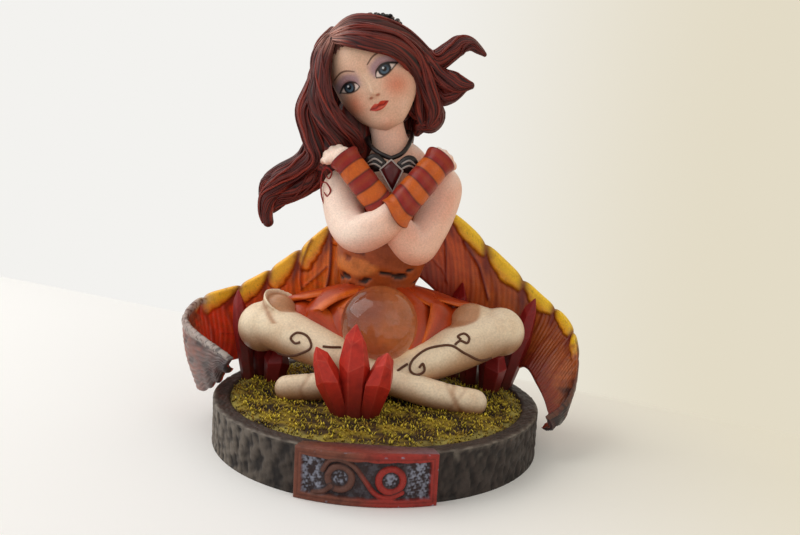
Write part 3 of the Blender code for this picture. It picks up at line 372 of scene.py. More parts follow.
def paintedMaterial(name, settings):
    # One painted finish: the piece's own tint field goes through the brushed paint group
    material = bpy.data.materials.new(name)
    material.use_nodes = True
    nodes, links = material.node_tree.nodes, material.node_tree.links
    shader = nodes["Principled BSDF"]
    tint = nodes.new("ShaderNodeAttribute")
    tint.attribute_name = "tint"
    paint = nodes.new("ShaderNodeGroup")
    paint.node_tree = resinGroup
    links.new(tint.outputs["Color"], paint.inputs["Tint"])
    paint.inputs["Wash"].default_value = (*displayColor(*settings["wash"]), 1)
    paint.inputs["Wash Amount"].default_value = settings["washAmount"]
    paint.inputs["Blotch Scale"].default_value = settings.get("blotchScale", 300.0)
    paint.inputs["Grain Scale"].default_value = settings.get("grainScale", 1800.0)
    paint.inputs["Gloss Low"].default_value = settings["gloss"][0]
    paint.inputs["Gloss High"].default_value = settings["gloss"][1]
    paint.inputs["Bump"].default_value = settings.get("bump", 0.2)
    links.new(paint.outputs["Color"], shader.inputs["Base Color"])
    links.new(paint.outputs["Roughness"], shader.inputs["Roughness"])
    links.new(paint.outputs["Normal"], shader.inputs["Normal"])
    shader.inputs["Specular IOR Level"].default_value = settings.get("specular", 0.28)
    shader.inputs["Coat Weight"].default_value = settings.get("coat", 0.0)
    shader.inputs["Coat Roughness"].default_value = 0.15
    shader.inputs["Subsurface Weight"].default_value = settings.get("subsurface", 0.0)
    shader.inputs["Subsurface Radius"].default_value = (0.002, 0.0008, 0.0005)
    return material


# Carved round base
baseLook = {
    "columns": 600, "sideRows": 36, "barkDepth": 0.6, "rimWidth": 5.5, "chamfer": 0.6,
    "dark": (26, 20, 19), "mid": (58, 48, 43), "wornAndLit": (134, 124, 112), "brown": (54, 40, 34),
    "wash": (22, 17, 16), "washAmount": 0.5, "gloss": (0.45, 0.7), "bump": 0.6,
    "blotchScale": 240.0, "grainScale": 1500.0,
}


def buildBase():
    look = baseLook
    angle = (np.arange(look["columns"]) * 2 * math.pi / look["columns"])[None, :]
    level = np.linspace(0, 1, look["sideRows"])[:, None]
    x, y, z = np.broadcast_arrays(baseRadius * np.cos(angle), baseRadius * np.sin(angle), level * baseHeight)
    skin = np.stack([x, y, z * 0.5], axis=-1)
    crumbs = ringField(angle, level * 14.0, 60, 150, 5)
    furrow = smoothStep(-1.1, 0.8, 0.45 * waveField(skin, 3.4, 3) + 0.6 * waveField(skin, 1.8, 4))
    fade = smoothStep(0.0, 0.05, level) * smoothStep(1.0, 0.93, level)
    depth = look["barkDepth"] * (1 - furrow) * fade + 0.07 * (1 + crumbs) * fade
    chips = smoothStep(0.9, 1.5, ringField(angle, level * 3.0, 12, 60, 6)) * smoothStep(0.72, 1.0, level)
    radius = baseRadius - 0.05 - depth - 0.55 * chips
    height = level * (baseHeight - look["chamfer"]) * np.ones_like(angle)
    tint = blendColor(displayColor(*look["dark"]), displayColor(*look["mid"]), furrow)
    # The left side of the bark is painted paler, as light falling from the left; chips and the raised bark near the top
    # edge take the same pale colour
    litLeftShare = smoothStep(-0.2, -1.0, np.cos(angle)) * np.ones_like(level)
    tint = blendColor(tint, displayColor(*look["wornAndLit"]), 0.7 * litLeftShare * furrow)
    tint = blendColor(tint, displayColor(*look["wornAndLit"]), 0.75 * chips + 0.25 * smoothStep(0.9, 1.0, level) * furrow)
    grid = [np.stack([radius * np.cos(angle), radius * np.sin(angle), height], axis=-1)]
    tints = [tint]
    # The rim rolls over a worn edge, runs level and drops to the earth
    rimChip = chips[-1:] * 0.35
    inner = baseRadius - look["rimWidth"]
    steps = [(baseRadius - 0.35, baseHeight - 0.2), (baseRadius - 0.9, baseHeight)]
    steps += [(r, baseHeight) for r in np.linspace(baseRadius - 1.6, inner + 1.2, 10)]
    steps += [(inner + 0.7, baseHeight - 0.1), (inner + 0.2, baseHeight - 0.5), (inner, seatHeight)]
    steps += [(inner - 1.5, seatHeight - 0.6), (inner * 0.5, seatHeight - 0.6)]
    for r, z in steps:
        spread = (r - inner) / look["rimWidth"]
        rough = 0.12 * ringField(angle, np.array([[r * 3.0]]), 30, 120, 8) * smoothStep(0.0, 0.3, spread)
        ringZ = np.minimum(z + rough - 0.12 - rimChip * (spread > 0.7), baseHeight)
        grid.append(np.stack([r * np.cos(angle), r * np.sin(angle), ringZ], axis=-1))
        shade = smoothStep(-0.2, 0.25, rough / 0.12 * 0.4)
        rim = blendColor(displayColor(*look["brown"]), displayColor(*look["mid"]), shade)
        edge = smoothStep(0.75, 1.0, spread) * np.ones_like(shade)
        rim = blendColor(rim, displayColor(*look["wornAndLit"]), edge * (0.35 + 0.5 * shade))
        tints.append(rim)
    points = np.vstack(grid)
    points[..., 2] -= seatHeight
    material = paintedMaterial("carvedStone", look)
    addObject("carvedBase", meshFromShells("carvedBase", [gridShell(points, np.vstack(tints))]), material)


# Earth and grass on the base
grassLook = {
    "radius": 49.4, "rows": 44, "columns": 180, "swell": 0.5,
    "earth": (60, 40, 20), "moss": (146, 124, 34), "pale": (168, 156, 80), "deep": (34, 22, 14),
    "wash": (52, 38, 16), "washAmount": 0.4, "gloss": (0.7, 0.9), "bump": 1.0,
    "blotchScale": 420.0, "grainScale": 1400.0,
    "bladeCount": 5000, "bladeHeight": 1.15, "bladeWidth": 0.38,
    "bladeLow": (92, 72, 16), "bladeHigh": (242, 216, 62), "bladePatch": (150, 112, 30),
}


def buildTurf():
    look = grassLook
    share = np.linspace(0.004, 1, look["rows"])[:, None]
    angle = (np.arange(look["columns"]) * 2 * math.pi / look["columns"])[None, :]
    x = look["radius"] * share * np.cos(angle)
    y = look["radius"] * share * np.sin(angle)
    flat = np.stack([x, y, np.zeros_like(x)], axis=-1)
    lumps = waveField(flat, 7.0, 21) + 0.6 * waveField(flat, 2.6, 22)
    edge = smoothStep(1.0, 0.93, share)
    top = np.stack([x, y, (0.25 + look["swell"] * smoothStep(-1.2, 1.6, lumps)) * edge], axis=-1)
    tint = blendColor(displayColor(*look["earth"]), displayColor(*look["moss"]), smoothStep(-0.2, 1.0, lumps))
    tint = blendColor(tint, displayColor(*look["deep"]), smoothStep(0.2, -1.4, lumps))
    ring = smoothStep(0.9, 0.96, share) * smoothStep(-0.8, 0.6, waveField(flat, 9.0, 23))
    tint = blendColor(tint, displayColor(*look["pale"]), 0.7 * ring)
    under = np.stack([x[-1:], y[-1:], np.full_like(x[-1:], -0.5)], axis=-1)
    points = np.vstack([top, under])
    tint = np.vstack([tint, tint[-1:]])
    material = paintedMaterial("mossyEarth", look)
    return addObject("grassTurf", meshFromShells("grassTurf", [gridShell(points, tint)]), material)


def makeBladeMesh(look):
    # One curved three-sided blade, standing at the origin
    mesh = bpy.data.meshes.new("blade")
    tall = look["bladeHeight"] * mm
    wide = look["bladeWidth"] * mm
    verts = []
    for share, size, lean in ((0.0, 1.0, 0.0), (0.6, 0.7, 0.14)):
        for k in range(3):
            a = 2 * math.pi * k / 3
            verts.append((wide * size * math.cos(a) * 0.5 + lean * tall, wide * size * math.sin(a), share * tall))
    verts.append((0.42 * tall, 0, tall))
    faces = [(k, (k + 1) % 3, 3 + (k + 1) % 3, 3 + k) for k in range(3)]
    faces += [(3, 4, 6), (4, 5, 6), (5, 3, 6), (2, 1, 0)]
    mesh.from_pydata(verts, [], faces)
    return mesh


def bladeMaterial(look):
    material = bpy.data.materials.new("grassBlade")
    material.use_nodes = True
    nodes, links = material.node_tree.nodes, material.node_tree.links
    shader = nodes["Principled BSDF"]
    place = nodes.new("ShaderNodeTexCoord")
    patch = nodes.new("ShaderNodeTexNoise")
    patch.inputs["Scale"].default_value = 260.0
    links.new(place.outputs["Object"], patch.inputs["Vector"])
    split = nodes.new("ShaderNodeSeparateXYZ")
    links.new(place.outputs["Object"], split.inputs["Vector"])
    rise = nodes.new("ShaderNodeMapRange")
    rise.inputs["From Min"].default_value = (seatHeight + 0.4) * mm
    rise.inputs["From Max"].default_value = (seatHeight + 1.5) * mm
    links.new(split.outputs["Z"], rise.inputs["Value"])
    # Blades are painted dark at the root, as shade between them, and light at the tip, as a painted highlight
    ramp = nodes.new("ShaderNodeValToRGB")
    ramp.color_ramp.elements[0].color = (*displayColor(*look["bladeLow"]), 1)
    ramp.color_ramp.elements[1].color = (*displayColor(*look["bladeHigh"]), 1)
    links.new(rise.outputs["Result"], ramp.inputs["Fac"])
    mix = nodes.new("ShaderNodeMix")
    mix.data_type = "RGBA"
    mix.inputs["B"].default_value = (*displayColor(*look["bladePatch"]), 1)
    patchRange = nodes.new("ShaderNodeMapRange")
    patchRange.inputs["From Min"].default_value = 0.45
    patchRange.inputs["From Max"].default_value = 0.7
    links.new(patch.outputs["Fac"], patchRange.inputs["Value"])
    links.new(patchRange.outputs["Result"], mix.inputs["Factor"])
    links.new(ramp.outputs["Color"], mix.inputs["A"])
    links.new(mix.outputs["Result"], shader.inputs["Base Color"])
    rough = nodes.new("ShaderNodeMapRange")
    rough.inputs["To Min"].default_value = 0.6
    rough.inputs["To Max"].default_value = 0.85
    links.new(patch.outputs["Fac"], rough.inputs["Value"])
    links.new(rough.outputs["Result"], shader.inputs["Roughness"])
    return material


def buildBlades(turf):
    # Geometry Nodes: points scattered over the turf carry turned and scaled blades
    look = grassLook
    blade = bpy.data.objects.new("bladeSource", makeBladeMesh(look))
    bpy.context.scene.collection.objects.link(blade)
    material = bladeMaterial(look)
    tree, given, result, identifiers = newTree("scatterBlades", [
        ("Blade", "NodeSocketObject", None), ("Density", "NodeSocketFloat", 900000.0),
        ("Seed", "NodeSocketInt", 5), ("Material", "NodeSocketMaterial", None),
    ])
    nodes, links = tree.nodes, tree.links
    facing = nodes.new("GeometryNodeInputNormal")
    split = nodes.new("ShaderNodeSeparateXYZ")
    upward = nodes.new("FunctionNodeCompare")
    upward.operation = "GREATER_THAN"
    upward.inputs["B"].default_value = 0.5
    links.new(facing.outputs["Normal"], split.inputs["Vector"])
    links.new(split.outputs["Z"], upward.inputs["A"])
    scatter = nodes.new("GeometryNodeDistributePointsOnFaces")
    links.new(given.outputs["Geometry"], scatter.inputs["Mesh"])
    links.new(upward.outputs["Result"], scatter.inputs["Selection"])
    links.new(given.outputs["Density"], scatter.inputs["Density"])
    links.new(given.outputs["Seed"], scatter.inputs["Seed"])
    source = nodes.new("GeometryNodeObjectInfo")
    links.new(given.outputs["Blade"], source.inputs["Object"])
    turn = nodes.new("FunctionNodeRandomValue")
    turn.data_type = "FLOAT_VECTOR"
    turn.inputs["Min"].default_value = (-0.5, -0.5, 0.0)
    turn.inputs["Max"].default_value = (0.5, 0.5, 6.283)
    links.new(given.outputs["Seed"], turn.inputs["Seed"])
    size = nodes.new("FunctionNodeRandomValue")
    size.data_type = "FLOAT"
    size.inputs[2].default_value = 0.45
    size.inputs[3].default_value = 1.2
    place = nodes.new("GeometryNodeInstanceOnPoints")
    links.new(scatter.outputs["Points"], place.inputs["Points"])
    links.new(source.outputs["Geometry"], place.inputs["Instance"])
    links.new(turn.outputs["Value"], place.inputs["Rotation"])
    links.new(size.outputs[1], place.inputs["Scale"])
    finishTree(tree, given, result, place.outputs["Instances"])
    area = math.pi * (look["radius"] * mm) ** 2

    def setUp(helper):
        grow = helper.modifiers.new("Scatter", "NODES")
        grow.node_group = tree
        grow[identifiers["Blade"]] = blade
        grow[identifiers["Density"]] = look["bladeCount"] / area
        grow[identifiers["Material"]] = material

    mesh = bakedMesh(turf.data.copy(), setUp)
    mesh.name = "grassBlades"
    bpy.data.objects.remove(blade, do_unlink=True)
    addObject("grassBlades", mesh, material)


# Plaque on the front of the base
plaqueLook = {
    "width": 38.5, "frame": 2.2, "stand": 1.95, "recess": 1.2, "columns": 250, "rows": 84,
    "ringRadius": 3.2, "ringSpacing": 13.4, "wire": 0.95, "sweepWire": 0.7,
    "frameLeft": (112, 62, 46), "frameRight": (146, 42, 34), "field": (46, 34, 36), "speck": (140, 144, 160),
    "ringLeft": (94, 60, 50), "ringRight": (148, 42, 34),
    "wash": (44, 20, 16), "washAmount": 0.4, "gloss": (0.4, 0.62), "bump": 0.5,
    "blotchScale": 420.0, "grainScale": 1700.0,
    "sweeps": [
        [(-1.7, 0.5), (-1.43, 1.38), (-0.93, 1.53), (-0.42, 1.0), (0, -0.12), (0.42, -1.19), (0.96, -1.47),
         (1.46, -1.06)],
        [(-2.06, -1.53), (-1.61, -1.31), (-1.34, -0.75)],
    ],
}


def plaqueRelief(arc, height):
    # Raised height above the field, and the paint that goes with it
    look = plaqueLook
    flat = np.stack([arc, height, np.zeros_like(arc)], axis=-1)
    toSide = look["width"] / 2 - np.abs(arc)
    toEdge = np.minimum(height, baseHeight - height)
    toFrame = np.minimum(toSide, toEdge)
    wobble = 0.12 * waveField(flat, 6.0, 31)
    frameShare = smoothStep(look["frame"] + 0.3 + wobble, look["frame"] - 0.25 + wobble, toFrame)
    groove = np.exp(-((toFrame - 1.25) / 0.2) ** 2)
    pits = smoothStep(-0.6, 0.9, 0.6 * waveField(flat, 1.0, 32, 24) + 0.6 * waveField(flat, 2.6, 34, 24))
    rise = frameShare * look["recess"] - 0.12 * groove + 0.2 * pits * (1 - frameShare)
    share = smoothStep(-0.3, 0.3, arc / look["width"] * 2)
    tint = blendColor(displayColor(*look["frameLeft"]), displayColor(*look["frameRight"]), share)
    tint = blendColor(tint, displayColor(58, 24, 20), 0.35 * groove)
    chips = smoothStep(1.2, 1.7, waveField(flat, 1.6, 33, 24)) * smoothStep(1.0, 0.4, toFrame)
    tint = blendColor(tint, displayColor(*look["speck"]), 0.8 * chips)
    middle = baseHeight / 2
    halfway = look["ringSpacing"] / 2
    reach = np.hypot(np.abs(arc) - halfway, height - middle)
    # Pale dry brushing lies at both ends of the field and inside the rings
    brushedAndSheen = np.maximum(smoothStep(10.0, 12.6, np.abs(arc)), smoothStep(2.6, 1.6, reach))
    brushedAndSheen = 0.12 + 0.75 * brushedAndSheen
    field = blendColor(displayColor(*look["field"]), displayColor(*look["speck"]), brushedAndSheen * pits)
    tint = blendColor(field, tint, frameShare)
    rings = blendColor(displayColor(*look["ringLeft"]), displayColor(*look["ringRight"]), smoothStep(-3.0, 3.0, arc))
    wires = [(np.abs(reach - look["ringRadius"]), look["wire"], 0.92)]
    for path in look["sweeps"]:
        curve = spline([(a * halfway, h * look["ringRadius"] + middle) for a, h in path], 8)
        gap, _ = curveDistance(np.stack([arc.ravel(), height.ravel()], axis=-1), curve)
        wires.append((gap.reshape(arc.shape), look["sweepWire"], 0.75))
    for gap, width, lift in wires:
        wire = np.sqrt(np.clip(1 - (gap / width) ** 2, 0, 1))
        rise = np.maximum(rise, wire * look["recess"] * lift)
        tint = blendColor(tint, displayColor(*look["field"]), 0.8 * np.exp(-((gap - width - 0.15) / 0.3) ** 2) * (1 - frameShare))
        tint = blendColor(tint, rings, smoothStep(0.15, 0.5, wire))
    return rise, tint


def buildPlaque():
    look = plaqueLook
    arc = np.linspace(-look["width"] / 2, look["width"] / 2, look["columns"])[None, :]
    height = np.linspace(0, baseHeight, look["rows"])[:, None]
    arc, height = np.broadcast_arrays(arc, height)
    rise, tint = plaqueRelief(arc, height)
    round_ = np.minimum(look["width"] / 2 - np.abs(arc), np.minimum(height, baseHeight - height))
    bevel = 0.35 * (1 - np.clip(round_ / 0.4, 0, 1)) ** 2
    radius = baseRadius + look["stand"] - look["recess"] + rise - bevel

    def onSide(r, a, z):
        return np.stack([r * np.sin(a / baseRadius), -r * np.cos(a / baseRadius), z - seatHeight], axis=-1)

    front = onSide(radius, arc, height)
    # The plate is swept as rings round its own section, and closes behind on its two end columns
    ends = [-1, 0]
    rear = onSide(np.full((look["rows"], 2), baseRadius - 2.5), arc[:, ends], height[:, ends])
    points = np.concatenate([front, rear], axis=1)
    tints = np.concatenate([tint, tint[:, ends] * 0.5], axis=1)
    material = paintedMaterial("plaquePaint", look)
    addObject("basePlaque", meshFromShells("basePlaque", [gridShell(points, tints)]), material)


# Crystals
crystalLook = {
    "width": 9.9, "bevel": 0.22,
    "front": (184, 42, 28), "frontEdgeHighlight": (192, 56, 40), "back": (124, 20, 20), "backEdgeHighlight": (134, 30, 28),
    "foot": (70, 24, 14),
    "wash": (120, 16, 12), "washAmount": 0.5, "gloss": (0.38, 0.55), "bump": 0.15, "coat": 0.08,
    "blotchScale": 300.0, "grainScale": 900.0,
}
crystalPlaces = [
    ((-6.4, -25.5, -1.0), (-6.4, -26.5, 30.0), 1.0, 10),
    ((-9.4, -24.0, -1.0), (-18.4, -27.5, 22.4), 1.05, 25),
    ((-1.6, -24.0, -1.0), (3.6, -27.5, 21.8), 1.05, 40),
    ((-5.6, -21.5, -1.0), (-5.0, -21.0, 14.0), 1.0, 5),
    ((-47.0, 9.0, -1.0), (-52.6, 12.0, 32.6), 0.76, 15),
    ((-43.0, 14.0, -1.0), (-45.0, 16.0, 22.0), 0.9, 40),
    ((-38.0, 8.0, -1.0), (-36.0, 9.0, 14.0), 1.2, 0),
    ((46.0, 17.0, -1.0), (56.0, 18.0, 34.8), 1.0, 20),
    ((40.0, 12.0, -1.0), (42.0, 13.0, 16.0), 1.2, 45),
    ((27.0, 26.5, -1.0), (29.6, 27.0, 38.0), 1.15, 10),
    ((34.0, 20.0, -1.0), (33.0, 20.0, 20.0), 1.2, 30),
]


def crystalShape(bm, layer, foot, tip, share, turn, colors):
    look = crystalLook
    foot, tip = Vector(foot), Vector(tip)
    axis = tip - foot
    frameTurn = axis.to_track_quat("Z", "Y").to_matrix()
    half = look["width"] * share / 2
    own = bmesh.new()
    loops = []
    for part, size in ((0.0, 0.66), (0.56, 1.0), (0.82, 0.66)):
        loop = []
        for k in range(6):
            a = math.radians(turn) + k * math.pi / 3
            skew = (0.05 if k % 2 else -0.03) * (1 if part > 0 else 0)
            local = Vector((half * size * math.cos(a), 0.8 * half * size * math.sin(a), 0))
            loop.append(own.verts.new(foot + axis * (part + skew) + frameTurn @ local))
        loops.append(loop)
    apex = own.verts.new(tip)
    for low, high in zip(loops, loops[1:]):
        for k in range(6):
            own.faces.new((low[k], low[(k + 1) % 6], high[(k + 1) % 6], high[k]))
    for k in range(6):
        own.faces.new((loops[-1][k], loops[-1][(k + 1) % 6], apex))
    own.faces.new(list(reversed(loops[0])))
    bmesh.ops.recalc_face_normals(own, faces=own.faces)
    made = bmesh.ops.bevel(own, geom=list(own.edges) + list(own.verts), offset=look["bevel"], segments=2,
                           profile=0.5, affect="EDGES", clamp_overlap=True)
    rims = set(made["faces"])
    face, edge = colors
    start = {}
    for vert in own.verts:
        start[vert] = bm.verts.new((vert.co + Vector((0, 0, seatHeight))) * mm)
    for polygon in own.faces:
        copied = bm.faces.new([start[vert] for vert in polygon.verts])
        copied.smooth = polygon in rims
        for loop, vert in zip(copied.loops, polygon.verts):
            # Each crystal is painted darker at its foot and lighter toward its tip, and its bevelled edges lighter than
            # its faces: painted shade and painted highlights
            rise = (vert.co - foot).dot(axis) / axis.length_squared
            base = edge if polygon in rims else face
            base = base * (0.75 + 0.4 * rise)
            shade = blendColor(displayColor(*look["foot"]), base, smoothStep(0.0, 0.3, rise))
            loop[layer] = (*shade, 1.0)
    own.free()


def buildCrystals():
    look = crystalLook
    material = paintedMaterial("crystalPaint", look)
    # The crystals behind the figure take darker copies of the same red, as painted shade
    for name, chosen, face, edge in (
        ("frontCrystals", crystalPlaces[:4], look["front"], look["frontEdgeHighlight"]),
        ("backCrystals", crystalPlaces[4:], look["back"], look["backEdgeHighlight"]),
    ):
        bm = bmesh.new()
        layer = bm.loops.layers.float_color.new("tint")
        for foot, tip, share, turn in chosen:
            crystalShape(bm, layer, foot, tip, share, turn, (displayColor(*face), displayColor(*edge)))
        mesh = bpy.data.meshes.new(name)
        bm.to_mesh(mesh)
        bm.free()
        obj = addObject(name, mesh, material)
        obj.data.shade_flat()


# Head and painted face
headSections = [
    (-18.2, 3.2, 10.6, -6.0), (-17.0, 5.2, 11.6, -3.5), (-15.0, 7.8, 12.3, 0.5), (-12.0, 10.7, 12.5, 6.0),
    (-8.0, 13.1, 12.6, 11.5), (-4.0, 14.2, 12.5, 14.5), (0.0, 14.4, 12.7, 16.0), (5.0, 14.2, 13.0, 16.5),
    (10.4, 12.4, 11.2, 14.6), (14.2, 9.8, 7.6, 11.4), (16.6, 6.4, 4.2, 8.0), (18.0, 3.0, 1.2, 4.2),
]
faceLook = {
    "columns": 230, "faceStep": 0.14, "restStep": 0.6, "middle": -0.75,
    "skin": (222, 178, 152), "pale": (232, 196, 170), "blush": (214, 128, 98), "shadow": (158, 126, 142),
    "crease": (140, 92, 98), "brow": (88, 56, 44), "lid": (22, 12, 14), "white": (226, 206, 198),
    "iris": (84, 108, 126), "irisDark": (20, 26, 34), "lip": (194, 62, 44), "lipLine": (122, 18, 18),
    "wash": (196, 130, 104), "washAmount": 0.12, "gloss": (0.42, 0.55), "bump": 0.06, "subsurface": 0.08,
}
# Sideways, height, spread sideways, spread in height, rise
faceForms = [
    (0.1, -5.0, 1.35, 1.5, 2.3), (0.1, -2.4, 1.0, 2.8, 1.1), (1.5, -5.9, 0.9, 0.8, 0.75), (-1.4, -5.9, 0.9, 0.8, 0.75),
    (6.6, 0.6, 3.4, 2.2, -1.0), (-6.6, 0.6, 3.4, 2.2, -1.0), (6.7, -0.2, 2.4, 1.5, 0.75), (-6.7, -0.2, 2.4, 1.5, 0.75),
    (0.0, -9.2, 2.3, 0.55, 0.75), (0.0, -10.7, 1.8, 0.6, 0.85), (0.0, -12.6, 2.6, 0.6, -0.45),
    (0.0, -16.0, 2.6, 1.8, 0.7), (6.8, -6.4, 3.6, 2.8, 0.7), (-6.8, -6.4, 3.6, 2.8, 0.7),
    (0.0, -7.5, 0.7, 0.8, -0.3),
]
# Eye edges from the inner to the outer corner, measured outward from the iris
lidTop = [(-3.5, -1.35), (-2.8, 0.2), (-0.6, 1.35), (1.5, 1.2), (3.1, 0.5), (4.3, -0.2)]
lidLow = [(-3.5, -1.35), (-2.4, -1.9), (-1.0, -2.05), (0.6, -1.85), (2.4, -1.15), (4.3, -0.2)]
browLine = [(-4.2, 3.5), (-1.7, 4.9), (0.8, 5.2), (4.4, 4.2)]


def curveHeight(points, x):
    path = spline(points, 10)
    return np.interp(x, path[:, 0], path[:, 1])


def paintFace(x, z):
    look = faceLook
    flat = np.stack([x, z, np.zeros_like(x)], axis=-1)
    # The middle of the face round the nose is painted paler, as a painted highlight, and the forehead is painted paler
    # too
    tint = blendColor(displayColor(*look["skin"]), displayColor(*look["pale"]), np.exp(-(x / 4) ** 2 - ((z + 3) / 5) ** 2))
    tint = blendColor(tint, displayColor(*look["pale"]), 0.6 * smoothStep(4, 9, z))
    for side in (-1, 1):
        cheek = np.exp(-((x - side * 8.0) / 4.2) ** 2 - ((z + 6.2) / 4.0) ** 2)
        tint = blendColor(tint, displayColor(*look["blush"]), 0.85 * cheek)
    tint = blendColor(tint, displayColor(*look["blush"]), 0.35 * np.exp(-(x / 3) ** 2 - ((z + 16) / 2.5) ** 2))
    for side in (-1, 1):
        u = (x * side) - 6.65
        w = z
        top = curveHeight(lidTop, u)
        low = curveHeight(lidLow, u)
        brow = curveHeight(browLine, u)
        within = smoothStep(-4.6, -3.0, u) * smoothStep(6.2, 4.0, u)
        span = np.clip((w - top) / np.maximum(brow - top, 0.5), -1, 2)
        shade = within * smoothStep(-0.1, 0.1, span) * smoothStep(1.0, 0.45, span)
        tint = blendColor(tint, displayColor(*look["shadow"]), 0.8 * shade)
        beside = np.exp(-((u + 3.9) / 1.1) ** 2 - ((w - 1.2) / 2.4) ** 2) + np.exp(-((u - 5.0) / 1.2) ** 2 - ((w - 0.8) / 2.0) ** 2)
        tint = blendColor(tint, displayColor(*look["shadow"]), 0.55 * beside)
        crease = np.exp(-((w - top - 0.75) / 0.2) ** 2) * smoothStep(-3.8, -2.6, u) * smoothStep(4.2, 3.0, u)
        tint = blendColor(tint, displayColor(*look["crease"]), 0.55 * crease)
        inRange = (u > -3.6) & (u < 4.4)
        inside = np.minimum(top - w, w - low)
        tint = blendColor(tint, displayColor(*look["white"]), smoothStep(-0.05, 0.1, inside) * inRange)
        reach = np.hypot(u, w + 0.1)
        visible = smoothStep(-0.05, 0.1, inside) * inRange
        tint = blendColor(tint, displayColor(*look["irisDark"]), visible * smoothStep(2.25, 2.1, reach))
        glow = smoothStep(1.65, 1.3, reach) * (0.4 + 0.6 * smoothStep(0.6, -1.4, w))
        streak = 0.85 + 0.15 * np.sin(np.arctan2(w + 0.1, u) * 22)
        tint = blendColor(tint, displayColor(*look["iris"]), visible * glow * streak)
        tint = blendColor(tint, displayColor(12, 10, 14), visible * smoothStep(0.85, 0.7, reach))
        spark = np.hypot(x - side * 6.65 + 0.25, w - 0.35)
        tint = blendColor(tint, displayColor(238, 240, 244), visible * smoothStep(0.42, 0.25, spark))
        upper = np.exp(-np.clip(np.abs(w - top - 0.02) - 0.26, 0, None) ** 2 / 0.2 ** 2) * inRange
        lower = np.exp(-np.clip(np.abs(w - low) - 0.12, 0, None) ** 2 / 0.18 ** 2) * inRange
        tint = blendColor(tint, displayColor(*look["lid"]), upper)
        tint = blendColor(tint, displayColor(*look["lid"]), 0.85 * lower)
        wing = np.hypot(np.clip(np.abs(u - 4.4) - 0.3, 0, None), w + 0.2 - 0.1 * u * 0)
        tint = blendColor(tint, displayColor(*look["lid"]), smoothStep(0.3, 0.12, wing))
        path = spline(browLine, 10)
        gap, along = curveDistance(np.stack([u.ravel(), w.ravel()], axis=-1), path)
        width = 0.1 + 0.14 * np.sin(np.clip(along, 0.02, 1) * math.pi) ** 0.6
        mask = smoothStep(0.14, -0.06, gap - width).reshape(x.shape)
        tint = blendColor(tint, displayColor(*look["brow"]), 0.9 * mask)
        # The nostrils are painted darker, as painted shade in them
        nostril = np.hypot((x - side * 1.25 - 0.05) / 1.3, (z + 6.45) / 0.8)
        tint = blendColor(tint, displayColor(168, 84, 62), 0.75 * smoothStep(0.75, 0.3, nostril))
    # Mouth: two peaks above, one soft bow below, and a dark line between
    m = np.clip(np.abs(x + 0.1) / 3.6, 0, 1)
    topLip = -9.75 + 1.25 * (1 - m ** 2) - 0.55 * np.exp(-(x / 0.75) ** 2) + 0.1
    lowLip = -9.75 - 1.45 * (1 - m ** 2.2)
    inLips = smoothStep(-0.1, 0.15, np.minimum(topLip - z, z - lowLip)) * (np.abs(x + 0.1) < 3.7)
    tint = blendColor(tint, displayColor(*look["lip"]), inLips)
    gleam = np.exp(-((x - 0.6) / 0.9) ** 2 - ((z + 10.5) / 0.3) ** 2)
    tint = blendColor(tint, displayColor(234, 140, 112), 0.5 * gleam * inLips)
    line = -9.75 + 0.22 * np.cos(x * 2.2) - 0.12
    mask = np.exp(-((z - line) / 0.24) ** 2) * smoothStep(3.8, 3.2, np.abs(x + 0.1))
    tint = blendColor(tint, displayColor(*look["lipLine"]), 0.95 * mask)
    return tint + 0.012 * waveField(flat, 5.0, 41)[..., None]


def headPoints():
    look = faceLook
    rows = spline(headSections, 12)
    # Rows and columns lie closer where the painted face is
    low, high = rows[0, 0], rows[-1, 0]
    heights = np.concatenate([
        np.arange(low, -11.4, look["restStep"]), np.arange(-11.4, 6.0, look["faceStep"]),
        np.arange(6.0, high, look["restStep"]), [high],
    ])
    rows = np.column_stack([np.interp(heights, rows[:, 0], rows[:, k]) for k in range(4)])
    phase = (np.arange(look["columns"]) * 2 * math.pi / look["columns"])[None, :]
    angle = phase - 0.7 * np.cos(phase)
    height, wide, front, rear = (rows[:, k][:, None] for k in range(4))
    x = wide * np.cos(angle)
    y = (rear - front) / 2 + (rear + front) / 2 * np.sin(angle)
    z = height * np.ones_like(angle)
    faceX = x - faceLook["middle"]
    rise = np.zeros_like(x)
    for midX, midZ, wideX, highZ, lift in faceForms:
        rise += lift * np.exp(-((faceX - midX) / wideX) ** 2 - ((z - midZ) / highZ) ** 2)
    y -= rise * np.clip(-2 * np.sin(angle), 0, 1)
    local = np.stack([x, y, z], axis=-1)
    tint = paintFace(faceX, z)
    back = smoothStep(-0.35, 0.1, np.sin(angle)) * np.ones_like(z)
    tint = blendColor(tint, displayColor(*faceLook["skin"]), back)
    return local @ np.array(headTurn).T + headAt, tint


def onHead(x, y, z):
    return np.array(headTurn @ Vector((x, y, z))) + headAt


def buildHead():
    look = faceLook
    points, tint = headPoints()
    material = paintedMaterial("faceSkin", look)
    shells = [gridShell(points, tint)]
    ear = ballGrid(onHead(14.9, 1.4, -4.4), (1.3, 2.2, 3.6), headTurn, 20, 32)
    earTint = np.tile(displayColor(*look["skin"]), (*ear.shape[:2], 1))
    shells.append(gridShell(ear, earTint))
    addObject("head", meshFromShells("head", shells), material)


# Neck, chest, arms and hands
skinLook = {
    "skin": (238, 188, 164), "blush": (224, 142, 114), "pale": (250, 226, 210), "fold": (170, 84, 66),
    "wash": (214, 142, 118), "washAmount": 0.12, "gloss": (0.42, 0.56), "bump": 0.06, "subsurface": 0.08,
    "voxel": 0.5, "chestVoxel": 0.68,
}


